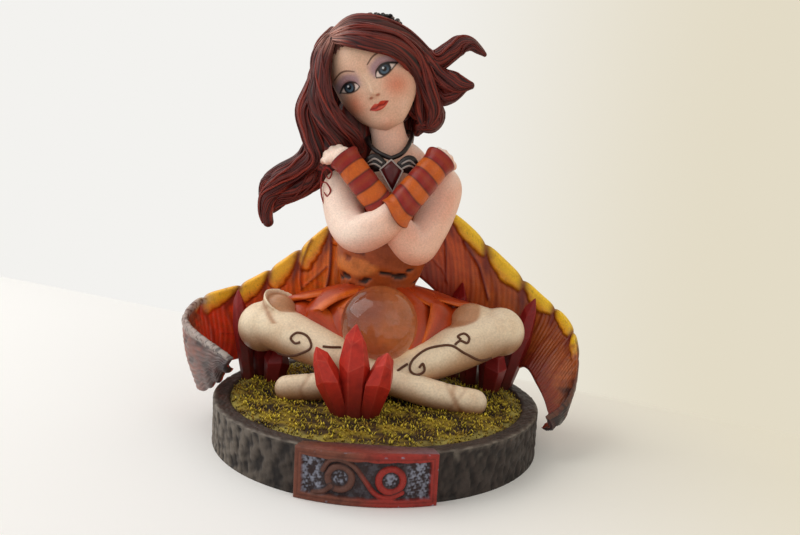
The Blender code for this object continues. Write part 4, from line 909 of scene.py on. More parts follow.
def paintSkin(mesh, creases=()):
    look = skinLook
    points = meshPoints(mesh)
    normals = meshNormals(mesh)
    tint = np.tile(displayColor(*look["skin"]), (len(points), 1))
    # Upward faces are painted pale, as painted light from above
    tint = blendColor(tint, displayColor(*look["pale"]), smoothStep(0.2, 1.0, normals[:, 2]))
    tint = blendColor(tint, displayColor(*look["blush"]), 0.35 * smoothStep(0.1, 1.3, waveField(points, 16.0, 51)))
    # The left side is painted pale, as painted light from the left
    tint = blendColor(tint, displayColor(*look["pale"]), 0.9 * smoothStep(4.0, -12.0, points[:, 0]))
    # Downward faces take the blush colour, as painted shade
    tint = blendColor(tint, displayColor(*look["blush"]), 0.6 * smoothStep(0.0, -0.9, normals[:, 2]))
    # Creases given here are painted darker, as painted shade in the folds
    for path, width in creases:
        gap, _ = curveDistance(points, spline(path, 6))
        tint = blendColor(tint, displayColor(*look["fold"]), 0.8 * np.exp(-(gap / width) ** 2))
    storeTint(mesh, tint)


nearArmStations = [
    (-15.5, 12.0, 74.5, 5.0, 5.0), (-16.4, 9.0, 70.0, 7.0, 6.4), (-15.0, 3.5, 64.0, 7.0, 6.2),
    (-12.6, -2.5, 58.4, 6.6, 6.2), (-9.0, -7.5, 55.8, 6.3, 6.2), (-4.6, -10.6, 57.2, 6.2, 6.0),
    (0.0, -12.0, 60.0, 5.4, 5.2), (5.6, -10.8, 66.5, 4.2, 4.0), (12.0, -6.4, 75.5, 3.6, 3.4),
    (16.5, -3.5, 81.5, 3.4, 3.0),
]
farArmStations = [
    (17.4, 12.0, 76.4, 5.0, 5.0), (19.2, 9.0, 72.4, 6.3, 6.2), (17.2, 4.0, 65.0, 6.6, 6.0),
    (14.0, -1.5, 57.4, 6.3, 6.0), (10.4, -5.0, 52.2, 6.1, 6.0), (5.6, -6.4, 56.2, 5.6, 5.4),
    (1.5, -6.2, 62.0, 4.9, 4.7), (-5.0, -5.6, 69.0, 4.2, 4.0), (-11.0, -4.5, 76.0, 3.7, 3.5),
    (-15.5, -2.8, 81.0, 3.3, 3.0),
]
nearFingers = [
    ((16.0, 6.5, 84.4), (16.2, 0.5, 84.2)), ((18.2, 6.5, 83.8), (18.2, 0.5, 83.4)),
    ((20.2, 6.5, 82.2), (20.0, 0.5, 81.8)), ((21.4, 6.5, 80.0), (21.2, 0.5, 79.6)),
]
farFingers = [
    ((-18.0, 7.0, 84.4), (-17.0, 1.5, 83.4)), ((-20.4, 6.5, 83.2), (-19.0, 1.0, 82.4)),
    ((-22.2, 5.5, 81.4), (-20.4, 0.5, 81.0)), ((-22.8, 4.5, 79.2), (-20.8, 0.0, 79.2)),
]


def buildSkin():
    look = skinLook
    material = paintedMaterial("bodySkin", look)
    chest = sweep([
        (0.3, 12.0, 62.0, 16.0, 9.6), (0.6, 12.0, 70.0, 17.0, 9.0), (0.8, 12.2, 76.0, 16.4, 8.0),
        (0.9, 12.0, 81.4, 12.0, 6.8), (-0.2, 11.0, 86.0, 7.2, 6.0), (-1.6, 10.0, 91.0, 6.0, 6.0),
        (-3.6, 10.5, 98.0, 6.6, 6.4),
    ], 96, 14)[0]
    mesh = fusedMesh("neckAndChest", [gridShell(chest)], look["chestVoxel"], 2)
    paintSkin(mesh)
    addObject("neckAndChest", mesh, material)
    for name, stations, palm, radii, fingers in (
        ("nearArm", nearArmStations, (17.6, 0.8, 80.8), (3.6, 3.6, 3.8), nearFingers),
        ("farArm", farArmStations, (-16.8, -0.2, 80.6), (3.8, 3.4, 3.4), farFingers),
    ):
        shells = [gridShell(sweep(stations, 56, 10, out=(0.3, -1, 0))[0])]
        shells.append(gridShell(ballGrid(palm, radii)))
        for tip, knuckle in fingers:
            tip, knuckle = np.array(tip), np.array(knuckle)
            joint = knuckle + (tip - knuckle) * 0.5 + np.array([0, 0, 0.5])
            finger = [(*knuckle, 1.45, 1.45), (*joint, 1.35, 1.35), (*tip, 1.15, 1.15)]
            shells.append(gridShell(sweep(finger, 24, 5, out=(0, 0, 1))[0]))
        mesh = fusedMesh(name, shells, look["voxel"], 2)
        paintSkin(mesh)
        addObject(name, mesh, material)


# Gauntlets in bands
gauntletLook = {
    "orange": (194, 88, 14), "red": (136, 18, 12), "line": (64, 10, 8), "light": (212, 118, 40),
    "wash": (140, 24, 14), "washAmount": 0.3, "gloss": (0.28, 0.45), "bump": 0.15, "coat": 0.1,
    "blotchScale": 420.0,
}


def gauntletShell(lower, upper, radii, bands, pointSide, drop, startOrange):
    # A flared sleeve whose lower edge comes to a point on the pointSide direction
    look = gauntletLook
    lower, upper = np.array(lower), np.array(upper)
    axis = unit(upper - lower)
    length = np.linalg.norm(upper - lower)
    across = unit(np.array(pointSide) - axis * (np.array(pointSide) @ axis))
    along = np.cross(axis, across)
    rows, sides = 104, 64
    share = np.linspace(0, 1, rows)[:, None]
    angle = (np.arange(sides) * 2 * math.pi / sides)[None, :]
    band = share * bands
    part = band - np.floor(np.minimum(band, bands - 1e-6))
    radius = radii[0] + (radii[1] - radii[0]) * share
    radius = radius + radii[2] * (smoothStep(0.1, 0.0, share) + smoothStep(0.88, 1.0, share))
    puff = 0.2 * np.sin(math.pi * part) ** 0.5
    pleats = 0.02 * ringField(angle, band, 8, 26, 61)
    reachOut = radius + puff + pleats
    point = (0.5 + 0.5 * np.cos(angle)) ** 3
    offset = share * length - drop * point * (1 - share) ** 1.5
    points = lower + axis * offset[..., None]
    points = points + across * (reachOut * np.cos(angle))[..., None] + along * (reachOut * np.sin(angle))[..., None]
    order = (np.floor(np.minimum(band, bands - 1e-6)).astype(int) + (0 if startOrange else 1)) % 2
    tint = np.where((order == 0)[..., None], displayColor(*look["orange"]), displayColor(*look["red"]))
    tint = np.broadcast_to(tint, (rows, sides, 3))
    seam = np.exp(-(np.minimum(part, 1 - part) / 0.06) ** 2) * np.ones_like(angle)
    # The middle of each puffed band is painted lighter, as a painted highlight
    tint = blendColor(tint, displayColor(*look["light"]), 0.12 * np.exp(-((part - 0.55) / 0.2) ** 2) * np.ones_like(angle))
    tint = blendColor(tint, displayColor(*look["line"]), 0.85 * seam)
    # Both rims turn inward so that the sleeve closes on the arm
    inLow = points[:1] + (lower - points[:1]) * 0.35 + axis * 0.5
    inHigh = points[-1:] + (upper - points[-1:]) * 0.35 - axis * 0.5
    points = np.vstack([inLow, points, inHigh])
    dark = displayColor(*look["line"])
    tint = np.vstack([np.tile(dark, (1, sides, 1)), tint, np.tile(dark, (1, sides, 1))])
    return gridShell(points, tint)


def buildGauntlets():
    shells = [
        gauntletShell((3.2, -12.2, 63.4), (17.0, -4.0, 81.8), (5.0, 4.7, 0.7), 6, (0.3, -1.0, -0.3), 4.0, True),
        gauntletShell((-1.0, -6.6, 64.6), (-15.2, -3.2, 80.8), (4.7, 4.5, 0.7), 5, (0.2, -1.0, 0.0), 3.0, False),
    ]
    material = paintedMaterial("gauntletPaint", gauntletLook)
    addObject("gauntlets", meshFromShells("gauntlets", shells), material)


# Corset and skirt
corsetLook = {
    "light": (222, 130, 60), "mid": (168, 78, 32), "dark": (44, 20, 12),
    "wash": (96, 38, 18), "washAmount": 0.35, "gloss": (0.35, 0.55), "bump": 0.3, "coat": 0.1,
    "blotchScale": 260.0, "grainScale": 1300.0,
}


def buildCorset():
    look = corsetLook

    def relief(angle, share):
        # Cloth drawn into folds that run across, with short gashes low down
        cell = np.stack([np.cos(angle) * 7, np.sin(angle) * 7, share * 64], axis=-1)
        fold = waveField(cell, 11.0, 71)
        gash = smoothStep(0.4, 1.0, waveField(cell, 4.4, 72)) * smoothStep(0.86, 0.62, share)
        gash = gash * smoothStep(0.44, 0.54, share)
        return 1 + 0.022 * np.clip(fold, -1, 1) - 0.07 * gash

    points, angle, share = sweep([
        (-2.0, 16.0, 1.0, 18.0, 12.0), (-2.2, 16.5, 12.0, 18.5, 13.0), (-2.5, 16.5, 25.0, 17.0, 11.5),
        (-2.6, 16.5, 34.5, 13.8, 9.8), (-2.0, 15.0, 43.5, 15.4, 10.2), (-0.6, 13.0, 54.0, 16.8, 11.0),
        (0.4, 12.0, 64.5, 17.0, 10.5),
    ], 150, 15, relief=relief)
    swell = relief(angle, share)
    # Fold valleys are painted darker and fold tops lighter, as painted shade and highlights; the gashes are dark
    tint = blendColor(displayColor(*look["dark"]), displayColor(*look["mid"]), smoothStep(0.955, 0.985, swell))
    tint = blendColor(tint, displayColor(*look["light"]), 0.8 * smoothStep(1.006, 1.022, swell))
    material = paintedMaterial("barkCloth", look)
    addObject("corset", meshFromShells("corset", [gridShell(points, tint)]), material)


petalLook = {
    "light": (216, 102, 30), "mid": (180, 62, 16), "dark": (104, 38, 16),
    "wash": (158, 48, 16), "washAmount": 0.3, "gloss": (0.26, 0.44), "bump": 0.12, "coat": 0.12,
    "blotchScale": 260.0,
}


def buildPetals():
    look = petalLook
    shells = []
    for number, spine in enumerate([
        [(-8, 9, 36, 3.0), (-18, 6, 33, 4.6), (-24, 3, 27, 4.0), (-19, 0, 23, 3.2), (-12, -5, 18, 1.0)],
        [(-9, 7, 35, 3.0), (-16.5, 4, 29, 4.4), (-15.4, 0, 24.6, 4.0), (-12, -5, 17, 1.0)],
        [(-9, 15, 36, 3.0), (-20, 14, 33, 4.6), (-29, 11, 31, 4.0), (-33, 9, 30, 1.0)],
        [(6, 10, 36, 3.0), (15, 7, 31, 4.6), (15.5, 0, 24, 4.4), (11, -5, 18, 1.0)],
        [(8, 12, 36, 3.0), (20.4, 9, 31.4, 4.6), (21.5, 3, 27, 4.4), (15, -4, 18.8, 1.0)],
        [(8, 17, 36, 3.0), (20, 15, 33, 4.6), (28, 12, 31.4, 4.0), (33, 10, 31, 1.0)],
    ]):
        def relief(angle, share):
            return 1 + 0.06 * np.cos(2 * angle + 0.9 * np.sin(4 * share)) + 0.02 * np.cos(5 * angle + 3 * share)

        stations = [(x, y, z, 1.3 * wide, 1.4) for x, y, z, wide in spine]
        points, angle, share = sweep(stations, 48, 12, around=(0.0, 20.0, 5.0), relief=relief)
        swell = relief(angle, share)
        # Swollen parts are painted lighter and hollows darker, as painted highlights and shade; the side turned to the
        # figure is painted darker as shade
        tint = blendColor(displayColor(*look["mid"]), displayColor(*look["light"]), smoothStep(0.98, 1.07, swell))
        rim = np.abs(np.cos(angle)) ** 8
        tint = blendColor(tint, displayColor(*look["dark"]), 0.35 * smoothStep(0.97, 0.92, swell))
        tint = blendColor(tint, displayColor(*look["light"]), 0.3 * rim)
        tint = blendColor(tint, displayColor(*look["dark"]), 0.6 * smoothStep(0.0, -0.8, np.sin(angle)))
        shells.append(gridShell(points, tint))
    cloth = displayColor(*look["mid"])
    for side, drop in ((-1, 1.0), (1, 0.0)):
        points = sweep([
            (side * 4.0, 14.0, 15.0, 9.0, 9.0), (side * 13.0, 13.0, 18.0, 9.0, 9.0),
            (side * 22.0, 11.5, 22.0 - drop, 7.6, 7.8), (side * 28.0, 9.5, 24.5 - drop, 6.4, 6.6),
        ], 48, 8)[0]
        shells.append(gridShell(points, np.broadcast_to(cloth, points.shape)))
    lap = ballGrid((-1.5, 6.0, 9.0), (15.0, 12.0, 9.5), None, 30, 60)
    shells.append(gridShell(lap, np.broadcast_to(displayColor(*look["light"]), lap.shape)))
    material = paintedMaterial("petalPaint", look)
    addObject("skirtPetals", meshFromShells("skirtPetals", shells), material)


# Boots
bootLook = {
    "ivory": (240, 220, 190), "brown": (150, 92, 48), "deep": (172, 104, 54), "voxel": 0.6,
    "wash": (194, 144, 96), "washAmount": 0.35, "gloss": (0.3, 0.5), "bump": 0.12, "coat": 0.12,
    "blotchScale": 120.0, "grainScale": 1500.0,
}
bootShapes = {
    "leftBoot": {
        "shin": [
            (-42.0, 4.5, 21.0, 7.6, 8.2), (-34.6, 2.4, 20.2, 7.8, 8.6), (-27.0, -0.6, 18.0, 7.4, 8.2),
            (-13.0, -5.5, 14.0, 6.2, 6.6), (4.0, -9.5, 8.6, 5.2, 5.4), (16.0, -12.0, 5.6, 4.8, 4.9),
            (25.0, -13.8, 4.4, 4.5, 4.4), (32.4, -15.2, 3.8, 4.3, 3.9),
        ],
        "knee": ((-41.7, 4.5, 20.6), (8.4, 8.4, 8.8)),
        "flare": [(-41.0, 6.0, 21.0, 8.0, 7.6), (-36.5, 6.2, 25.5, 6.6, 6.6)],
        "cuff": ((-34.8, 5.0, 29.0), (0.47, -0.30, 0.83), (0.83, 0, -0.5), 1.05),
        "wrinkles": [(24.2, 0.5), (26.0, 0.6), (27.6, 0.4)],
    },
    "rightBoot": {
        "shin": [
            (41.6, 4.5, 23.6, 7.6, 8.2), (34.6, 2.4, 21.2, 8.0, 8.6), (27.0, -0.5, 18.2, 8.0, 8.4),
            (14.0, -5.5, 12.6, 6.4, 6.8), (-2.0, -8.0, 7.6, 5.2, 5.4), (-18.0, -10.4, 4.8, 4.8, 4.6),
            (-29.6, -11.6, 3.8, 4.3, 3.9),
        ],
        "knee": ((41.6, 4.5, 23.6), (8.6, 8.4, 8.6)),
        "flare": [(39.0, 6.0, 23.0, 8.0, 7.6), (31.0, 5.6, 25.5, 7.6, 7.0)],
        "cuff": ((28.0, 5.0, 26.6), (-0.42, -0.28, 0.86), (0.86, 0, 0.5), 1.35),
        "wrinkles": [(-23.0, 0.5)],
    },
}
# Scroll work on the shins, as places in front of the boot that the lines are laid down from
vineLook = {
    "width": 0.42, "lift": 0.12, "sides": 10, "brown": (92, 56, 38),
    "wash": (30, 14, 10), "washAmount": 0.3, "gloss": (0.35, 0.5), "bump": 0.2,
    "leftBoot": [
        [(-34.8, -3.5, 12.4), (-29.8, -6.6, 13.2), (-24.6, -9.4, 15.7), (-22.3, -9.9, 17.5), (-22.8, -9.1, 19.7),
         (-24.7, -7.9, 21.2), (-27.5, -7.6, 21.6), (-29.3, -8.0, 19.9), (-27.8, -8.7, 18.4), (-26.0, -8.9, 18.9)],
        [(-18.3, -10.3, 18.2), (-15.3, -10.4, 18.1), (-12.3, -10.2, 18.2)],
    ],
    "rightBoot": [
        [(39.0, -3.5, 15.0), (34.6, -5.1, 15.5), (28.7, -8.5, 18.3), (24.3, -8.6, 20.5), (20.5, -8.6, 20.3),
         (15.7, -9.0, 18.8), (11.6, -11.0, 15.6), (10.8, -12.3, 12.6), (13.2, -12.6, 11.1), (15.4, -12.1, 12.4),
         (14.9, -11.7, 14.7), (13.7, -12.1, 13.4)],
        [(25.2, -8.4, 20.9), (26.9, -7.5, 22.1), (29.2, -7.7, 21.6), (29.9, -6.9, 23.2), (28.2, -6.0, 24.3),
         (26.2, -6.6, 23.3), (27.2, -7.3, 22.5)],
        [(6.6, -13.0, 12.2), (8.4, -12.0, 13.3), (10.0, -11.7, 14.4)],
    ],
}


def turnedGrid(centre, axis, side, profile, stretch, sides=96):
    up = unit(np.array(axis, float))
    across = unit(np.array(side, float) - up * (up @ np.array(side, float)))
    along = np.cross(up, across)
    angle = (np.arange(sides) * 2 * math.pi / sides)[None, :]
    rows = spline(profile, 6)
    offset, radius = rows[:, 0][:, None], rows[:, 1][:, None]
    points = np.array(centre) + up * (offset * np.ones_like(angle))[..., None]
    points = points + across * (radius * stretch * np.cos(angle))[..., None]
    return points + along * (radius * np.sin(angle))[..., None]


def buildBoots():
    look = bootLook
    material = paintedMaterial("bootPaint", look)
    cuffProfile = [(-6.0, 5.6), (-2.6, 6.2), (0.0, 7.1), (0.9, 7.2), (0.9, 6.6), (-1.6, 5.2), (-3.0, 3.0)]
    boots = {}
    for name, shape in bootShapes.items():
        shells = [gridShell(sweep(shape["shin"], 64, 14)[0])]
        shells.append(gridShell(ballGrid(*shape["knee"])))
        shells.append(gridShell(sweep(shape["flare"], 48, 10)[0]))
        shells.append(gridShell(turnedGrid(*shape["cuff"][:3], cuffProfile, shape["cuff"][3])))
        mesh = fusedMesh(name, shells, look["voxel"], 2)
        points = meshPoints(mesh)
        normals = meshNormals(mesh)
        # Soft leather folds cross the shin where the boot gives
        crease = np.zeros(len(points))
        for at, depth in shape["wrinkles"]:
            wave = 1.4 * np.sin(points[:, 2] * 0.55 + at) + 0.6 * waveField(points, 9.0, 81)
            crease += depth * np.exp(-((points[:, 0] - at - wave) / 0.75) ** 2)
        dents = waveField(points, 16.0, 82)
        points = points - normals * (0.34 * crease + 0.06 * np.abs(dents))[:, None]
        moveVertices(mesh, points)
        centre, axis = np.array(shape["cuff"][0]), unit(np.array(shape["cuff"][1]))
        rise = (points - centre) @ axis
        near = np.linalg.norm(points - centre, axis=1) < 11.5
        tint = np.tile(displayColor(*look["ivory"]), (len(points), 1))
        tint = blendColor(tint, displayColor(*look["brown"]), 0.25 * smoothStep(0.25, 1.5, -dents))
        # Downward faces and creases are painted brown, as painted shade
        tint = blendColor(tint, displayColor(*look["brown"]), 0.85 * smoothStep(0.35, -0.7, normals[:, 2]))
        tint = blendColor(tint, displayColor(*look["brown"]), 0.7 * np.clip(crease, 0, 0.85))
        band = np.exp(-((rise + 1.6) / 0.65) ** 2) * near
        tint = blendColor(tint, displayColor(*look["brown"]), 0.8 * band)
        # The inside of the cuff is painted deep brown, as painted shadow in the opening
        inside = smoothStep(6.4, 5.4, np.linalg.norm(points - centre - axis * rise[:, None], axis=1) / shape["cuff"][3])
        inside = inside * near * smoothStep(-4.0, -2.5, rise)
        tint = blendColor(tint, displayColor(*look["deep"]), 0.8 * inside)
        # Low parts near the ground are painted browner, more toward the left, as painted shade
        foot = smoothStep(9.0, 2.0, points[:, 2])
        tint = blendColor(tint, displayColor(*look["brown"]), foot * (0.06 + 0.5 * smoothStep(10, -10, points[:, 0])))
        storeTint(mesh, tint)
        boots[name] = addObject(name, mesh, material)
    return boots


def vineTree():
    # Geometry Nodes: every edge line becomes a round cord of its own width
    tree, given, result, identifiers = newTree("traceVines", [
        ("Width", "NodeSocketFloat", 0.0005), ("Sides", "NodeSocketInt", 8), ("Material", "NodeSocketMaterial", None),
    ])
    nodes, links = tree.nodes, tree.links
    trace = nodes.new("GeometryNodeMeshToCurve")
    links.new(given.outputs["Geometry"], trace.inputs["Mesh"])
    wide = nodes.new("GeometryNodeInputNamedAttribute")
    wide.data_type = "FLOAT"
    wide.inputs["Name"].default_value = "wide"
    taper = nodes.new("GeometryNodeSetCurveRadius")
    links.new(trace.outputs["Curve"], taper.inputs["Curve"])
    links.new(wide.outputs["Attribute"], taper.inputs["Radius"])
    ring = nodes.new("GeometryNodeCurvePrimitiveCircle")
    links.new(given.outputs["Sides"], ring.inputs["Resolution"])
    links.new(given.outputs["Width"], ring.inputs["Radius"])
    cord = nodes.new("GeometryNodeCurveToMesh")
    cord.inputs["Fill Caps"].default_value = True
    links.new(taper.outputs["Curve"], cord.inputs["Curve"])
    links.new(ring.outputs["Curve"], cord.inputs["Profile Curve"])
    finishTree(tree, given, result, cord.outputs["Mesh"])
    return tree, identifiers


def buildVines(boots):
    look = vineLook
    material = paintedMaterial("vinePaint", look)
    tree, identifiers = vineTree()
    verts, edges, widths = [], [], []
    for name, boot in boots.items():
        skin = bmesh.new()
        skin.from_mesh(boot.data)
        surface = BVHTree.FromBMesh(skin)
        skin.free()
        for path in look[name]:
            rows = spline(path, 10)
            for number, row in enumerate(rows):
                spot, normal, _, _ = surface.find_nearest(Vector((row + [0, 0, seatHeight]) * mm))
                if number > 0:
                    edges.append((len(verts) - 1, len(verts)))
                verts.append(spot + normal * look["lift"] * mm)
                widths.append(0.35 + 0.65 * math.sin(math.pi * (0.04 + 0.92 * number / (len(rows) - 1))) ** 0.5)
    lines = bpy.data.meshes.new("vineLines")
    lines.from_pydata(verts, edges, [])
    lines.attributes.new("wide", "FLOAT", "POINT").data.foreach_set("value", widths)

    def setUp(helper):
        trace = helper.modifiers.new("Trace", "NODES")
        trace.node_group = tree
        trace[identifiers["Width"]] = look["width"] * mm
        trace[identifiers["Sides"]] = look["sides"]
        trace[identifiers["Material"]] = material

    mesh = bakedMesh(lines, setUp)
    mesh.name = "bootVines"
    storeTint(mesh, np.tile(displayColor(*look["brown"]), (len(mesh.vertices), 1)))
    addObject("bootVines", mesh, material)


# Hair
hairLook = {
    "deep": (20, 6, 8), "mid": (90, 23, 18), "light": (152, 54, 38), "partingSheen": (216, 160, 144),
    "wash": (46, 12, 12), "washAmount": 0.3, "gloss": (0.36, 0.55), "bump": 0.15, "coat": 0.04,
    "blotchScale": 220.0, "lockSides": 88, "perSpan": 7, "strandWidth": 1.1, "wisps": 7,
}
partingAt = np.array([-20.8, 3.0, 120.4])
hairLocks = [
    [(-20.5, 1, 119.2, 1.5, 1.2), (-14.8, -3.2, 118.4, 2.6, 1.6), (-7.5, -5.2, 117.2, 2.8, 1.6),
     (-0.2, -2.4, 116.4, 3.0, 1.8), (5.8, 3.6, 113.0, 3.2, 2.0), (8.9, 8, 106.2, 2.6, 2.0),
     (9.6, 10, 98.6, 2.4, 2.0), (10.2, 10, 92.9, 1.0, 1.0)],
    [(-21.1, 2, 120.3, 1.5, 1.2), (-14.5, -1.2, 121.2, 3.0, 1.8), (-6.6, -2.2, 120.4, 3.4, 2.0),
     (1.3, 0.8, 118.7, 3.4, 2.2), (7.6, 6, 114.2, 3.4, 2.6), (11.5, 8, 106.1, 3.4, 3.0),
     (13.7, 9, 99, 3.0, 2.6), (12.3, 9, 93.5, 1.0, 1.0)],
    [(-21, 4, 121.7, 1.5, 1.2), (-14.7, 3, 124.7, 3.2, 2.0), (-6.4, 3, 124.2, 3.6, 2.2),
     (1.7, 6, 121.8, 3.8, 2.4), (8.9, 9, 116.2, 3.8, 3.2), (14.4, 10, 110.8, 3.6, 3.2),
     (20.6, 9, 108.2, 3.6, 3.0), (26.2, 7.5, 107.6, 1.2, 1.1)],
    [(-20.2, 8, 123.0, 1.5, 1.2), (-14.4, 9, 126.4, 3.4, 2.0), (-6.2, 10, 126.4, 3.7, 2.2),
     (2.2, 11, 122.6, 3.7, 2.6), (8.6, 11, 117.4, 3.6, 3.0), (13.4, 10, 115.6, 3.3, 2.8),
     (17.8, 9.4, 118.4, 3.1, 2.5), (21.6, 9, 121.2, 2.9, 2.3), (25.2, 9, 121.5, 2.4, 2.0),
     (28.2, 9, 119.8, 1.6, 1.3), (30.2, 9, 118.4, 0.7, 0.7)],
    [(4.7, 12, 110.9, 3.0, 3.0), (10.3, 12, 105.5, 3.6, 3.0), (16, 11.5, 104.0, 3.3, 2.8),
     (20.2, 10, 104.6, 2.8, 2.4), (24.3, 8, 106.6, 1.0, 1.0)],
    [(4.3, 14, 106.1, 3.0, 3.0), (8.2, 14, 101.0, 4.2, 3.4), (14.0, 13, 98.6, 4.2, 3.2),
     (13.6, 11.5, 94.4, 3.0, 2.6), (9.0, 10, 93.0, 1.2, 1.2)],
    [(-21.2, 1, 118.7, 1.5, 1.2), (-23.4, 0, 112.6, 2.6, 1.8), (-23.4, -0.6, 105.3, 2.8, 2.0),
     (-21.4, -0.6, 98, 2.8, 2.2), (-17.0, 1, 92.0, 2.8, 2.4), (-12.4, 3.5, 88, 2.8, 2.2),
     (-10.4, 6, 84.3, 1.6, 1.6)],
    [(-22.3, 4, 120.7, 1.5, 1.2), (-25.2, 4, 114.3, 3.0, 2.2), (-25.0, 3, 106.5, 3.0, 2.6),
     (-25.6, 2, 99.2, 3.2, 2.8), (-22.1, 3, 92.1, 3.4, 3.0), (-17.8, 5, 86.4, 3.4, 3.0),
     (-16.6, 8, 80.4, 2.4, 2.4)],
    [(-22.1, 9, 123.8, 1.5, 1.2), (-25.3, 10, 118.0, 3.2, 2.4), (-25.0, 9, 110.6, 3.4, 3.0),
     (-27.4, 8, 103.4, 3.6, 3.0), (-30.0, 7, 96.0, 3.6, 3.0), (-28.0, 7.5, 88.4, 3.6, 3.0),
     (-26.2, 8, 81.6, 3.4, 3.0), (-31.0, 9, 76.8, 3.6, 2.6), (-37.4, 9, 72.4, 3.6, 2.6),
     (-42.0, 9, 67.0, 3.4, 2.6), (-42.9, 9, 61.0, 3.0, 2.4), (-42.0, 9, 57.2, 2.4, 1.9)],
    [(-26.8, 12, 93.6, 3.0, 3.0), (-27.4, 12, 84.9, 3.4, 3.0), (-31.4, 12, 79.4, 3.0, 2.4),
     (-38.4, 11, 75.0, 2.8, 2.2), (-43.0, 10, 70.6, 2.4, 2.0), (-44.2, 9, 65.0, 1.2, 1.2)],
    [(-22.9, 14, 90.6, 3.4, 3.0), (-22.7, 14, 81.8, 3.8, 3.0), (-26.0, 13, 74.5, 3.8, 2.8),
     (-31.6, 12, 69.2, 3.6, 2.6), (-37.5, 11, 65.8, 3.0, 2.2), (-41.5, 10, 61.5, 1.6, 1.4)],
]
backLocks = [
    [(-20, 16, 121, 3.0, 2.0), (-27, 20, 112, 4.6, 3.0), (-28, 22, 98, 4.8, 3.4),
     (-24, 22, 84, 4.4, 3.2), (-21.5, 20, 72, 3.4, 2.6), (-21.5, 19.5, 62, 1.2, 1.2)],
    [(-16, 20, 123, 3.0, 2.0), (-19, 26, 112, 5.0, 3.2), (-19, 27, 98, 5.2, 3.6),
     (-15, 26, 85, 4.6, 3.2), (-13, 25, 76, 1.6, 1.6)],
    [(-10, 22, 124, 3.0, 2.0), (-9, 28, 112, 5.0, 3.2), (-8, 28, 98, 5.2, 3.6),
     (-5, 26.5, 85, 4.6, 3.2), (-4, 25.5, 77, 1.6, 1.6)],
    [(-4, 20, 123, 3.0, 2.0), (2, 25, 112, 5.0, 3.2), (3, 26, 99, 5.0, 3.6),
     (3.4, 25, 87, 3.6, 3.0), (3, 24, 80, 1.4, 1.4)],
    [(0, 16, 122, 3.0, 2.0), (8, 19, 112, 4.6, 3.2), (10, 20, 100, 4.6, 3.4),
     (9.6, 19, 95.4, 3.6, 3.0), (8.6, 18, 92, 1.6, 1.6)],
]


def strandFields(angle, share, count, seed):
    # Strands side by side with sharp grooves between them; each has its own height and shade
    rng = np.random.default_rng(seed)
    phase = rng.uniform(0, 2 * math.pi)
    flow = angle + 0.5 * np.sin(share * 5.0 + phase) + 0.16 * np.sin(3 * angle + share * 9.0 + phase)
    flow = flow + 0.07 * np.sin(7 * angle - share * 14.0 + phase)
    cell = flow * count / (2 * math.pi)
    ridge = np.sqrt(np.clip(1 - (2 * np.abs(cell % 1.0 - 0.5)) ** 2, 0, 1))
    number = np.floor(cell).astype(int) % count
    bundle = np.cos(max(count // 4, 3) * flow + phase)
    return ridge, rng.uniform(0, 1, count)[number], rng.uniform(0, 1, count)[number], bundle


def strandTint(ridge, shade, bundle, points):
    # Near black grooves, mahogany strands and lighter tops as painted highlights, with a pale pink painted sheen by the
    # parting
    look = hairLook
    tint = blendColor(displayColor(*look["deep"]), displayColor(*look["mid"]), smoothStep(0.3, 0.9, ridge) * (0.55 + 0.45 * shade))
    # Strand tops are painted lighter, as painted highlights
    top = smoothStep(0.75, 1.0, ridge) * (0.1 + 0.7 * shade) * smoothStep(-1.0, 0.8, bundle)
    tint = blendColor(tint, displayColor(*look["light"]), top)
    # By the parting the strand tops take a pale pink painted sheen
    near = smoothStep(10.0, 3.0, np.linalg.norm(points - partingAt, axis=-1))
    return blendColor(tint, displayColor(*look["partingSheen"]), 0.9 * near * smoothStep(0.6, 0.95, ridge) * (0.35 + 0.65 * shade))


def lockShell(lock, seed, middle):
    look = hairLook
    girth = 2 * math.pi * np.mean([max(row[3], row[4]) for row in lock])
    count = int(round(girth / look["strandWidth"]))

    def relief(angle, share):
        ridge, height, _, bundle = strandFields(angle, share, count, seed)
        return 1 + 0.06 * bundle + 0.17 * (ridge * (0.7 + 0.3 * height) - 0.7)

    points, angle, share = sweep(lock, look["lockSides"], look["perSpan"], around=middle, relief=relief)
    ridge, _, shade, bundle = strandFields(angle, share, count, seed)
    return gridShell(points, strandTint(ridge, shade, bundle, points))


def wispShells(lock, seed, middle):
    # Thin loose strands that wander over the outer side of a lock
    look = hairLook
    rng = np.random.default_rng(seed)
    rows = spline(lock, 6)
    tangent = unit(np.gradient(rows[:, :3], axis=0))
    side = unit(np.cross(tangent, rows[:, :3] - middle))
    front = np.cross(side, tangent)
    share = np.linspace(0, 1, len(rows))
    shells = []
    for _ in range(look["wisps"]):
        start, drift, wave = rng.uniform(0.0, math.pi), rng.uniform(-0.9, 0.9), rng.uniform(0.2, 0.5)
        around = start + drift * share + wave * np.sin(share * 8.0 + start * 3)
        path = rows[:, :3] + side * (rows[:, 3] * 1.04 * np.cos(around))[:, None]
        path = path + front * (rows[:, 4] * 1.04 * np.sin(around))[:, None]
        wide = rng.uniform(0.34, 0.52) * np.sin(np.clip(share, 0.04, 0.96) * math.pi) ** 0.5
        points = sweep(np.column_stack([path, wide, wide]), 6, 1)[0]
        ridge = np.full(points.shape[:2], rng.uniform(0.7, 1.0))
        shells.append(gridShell(points, strandTint(ridge, rng.uniform(0, 1), 0.5, points)))
    return shells


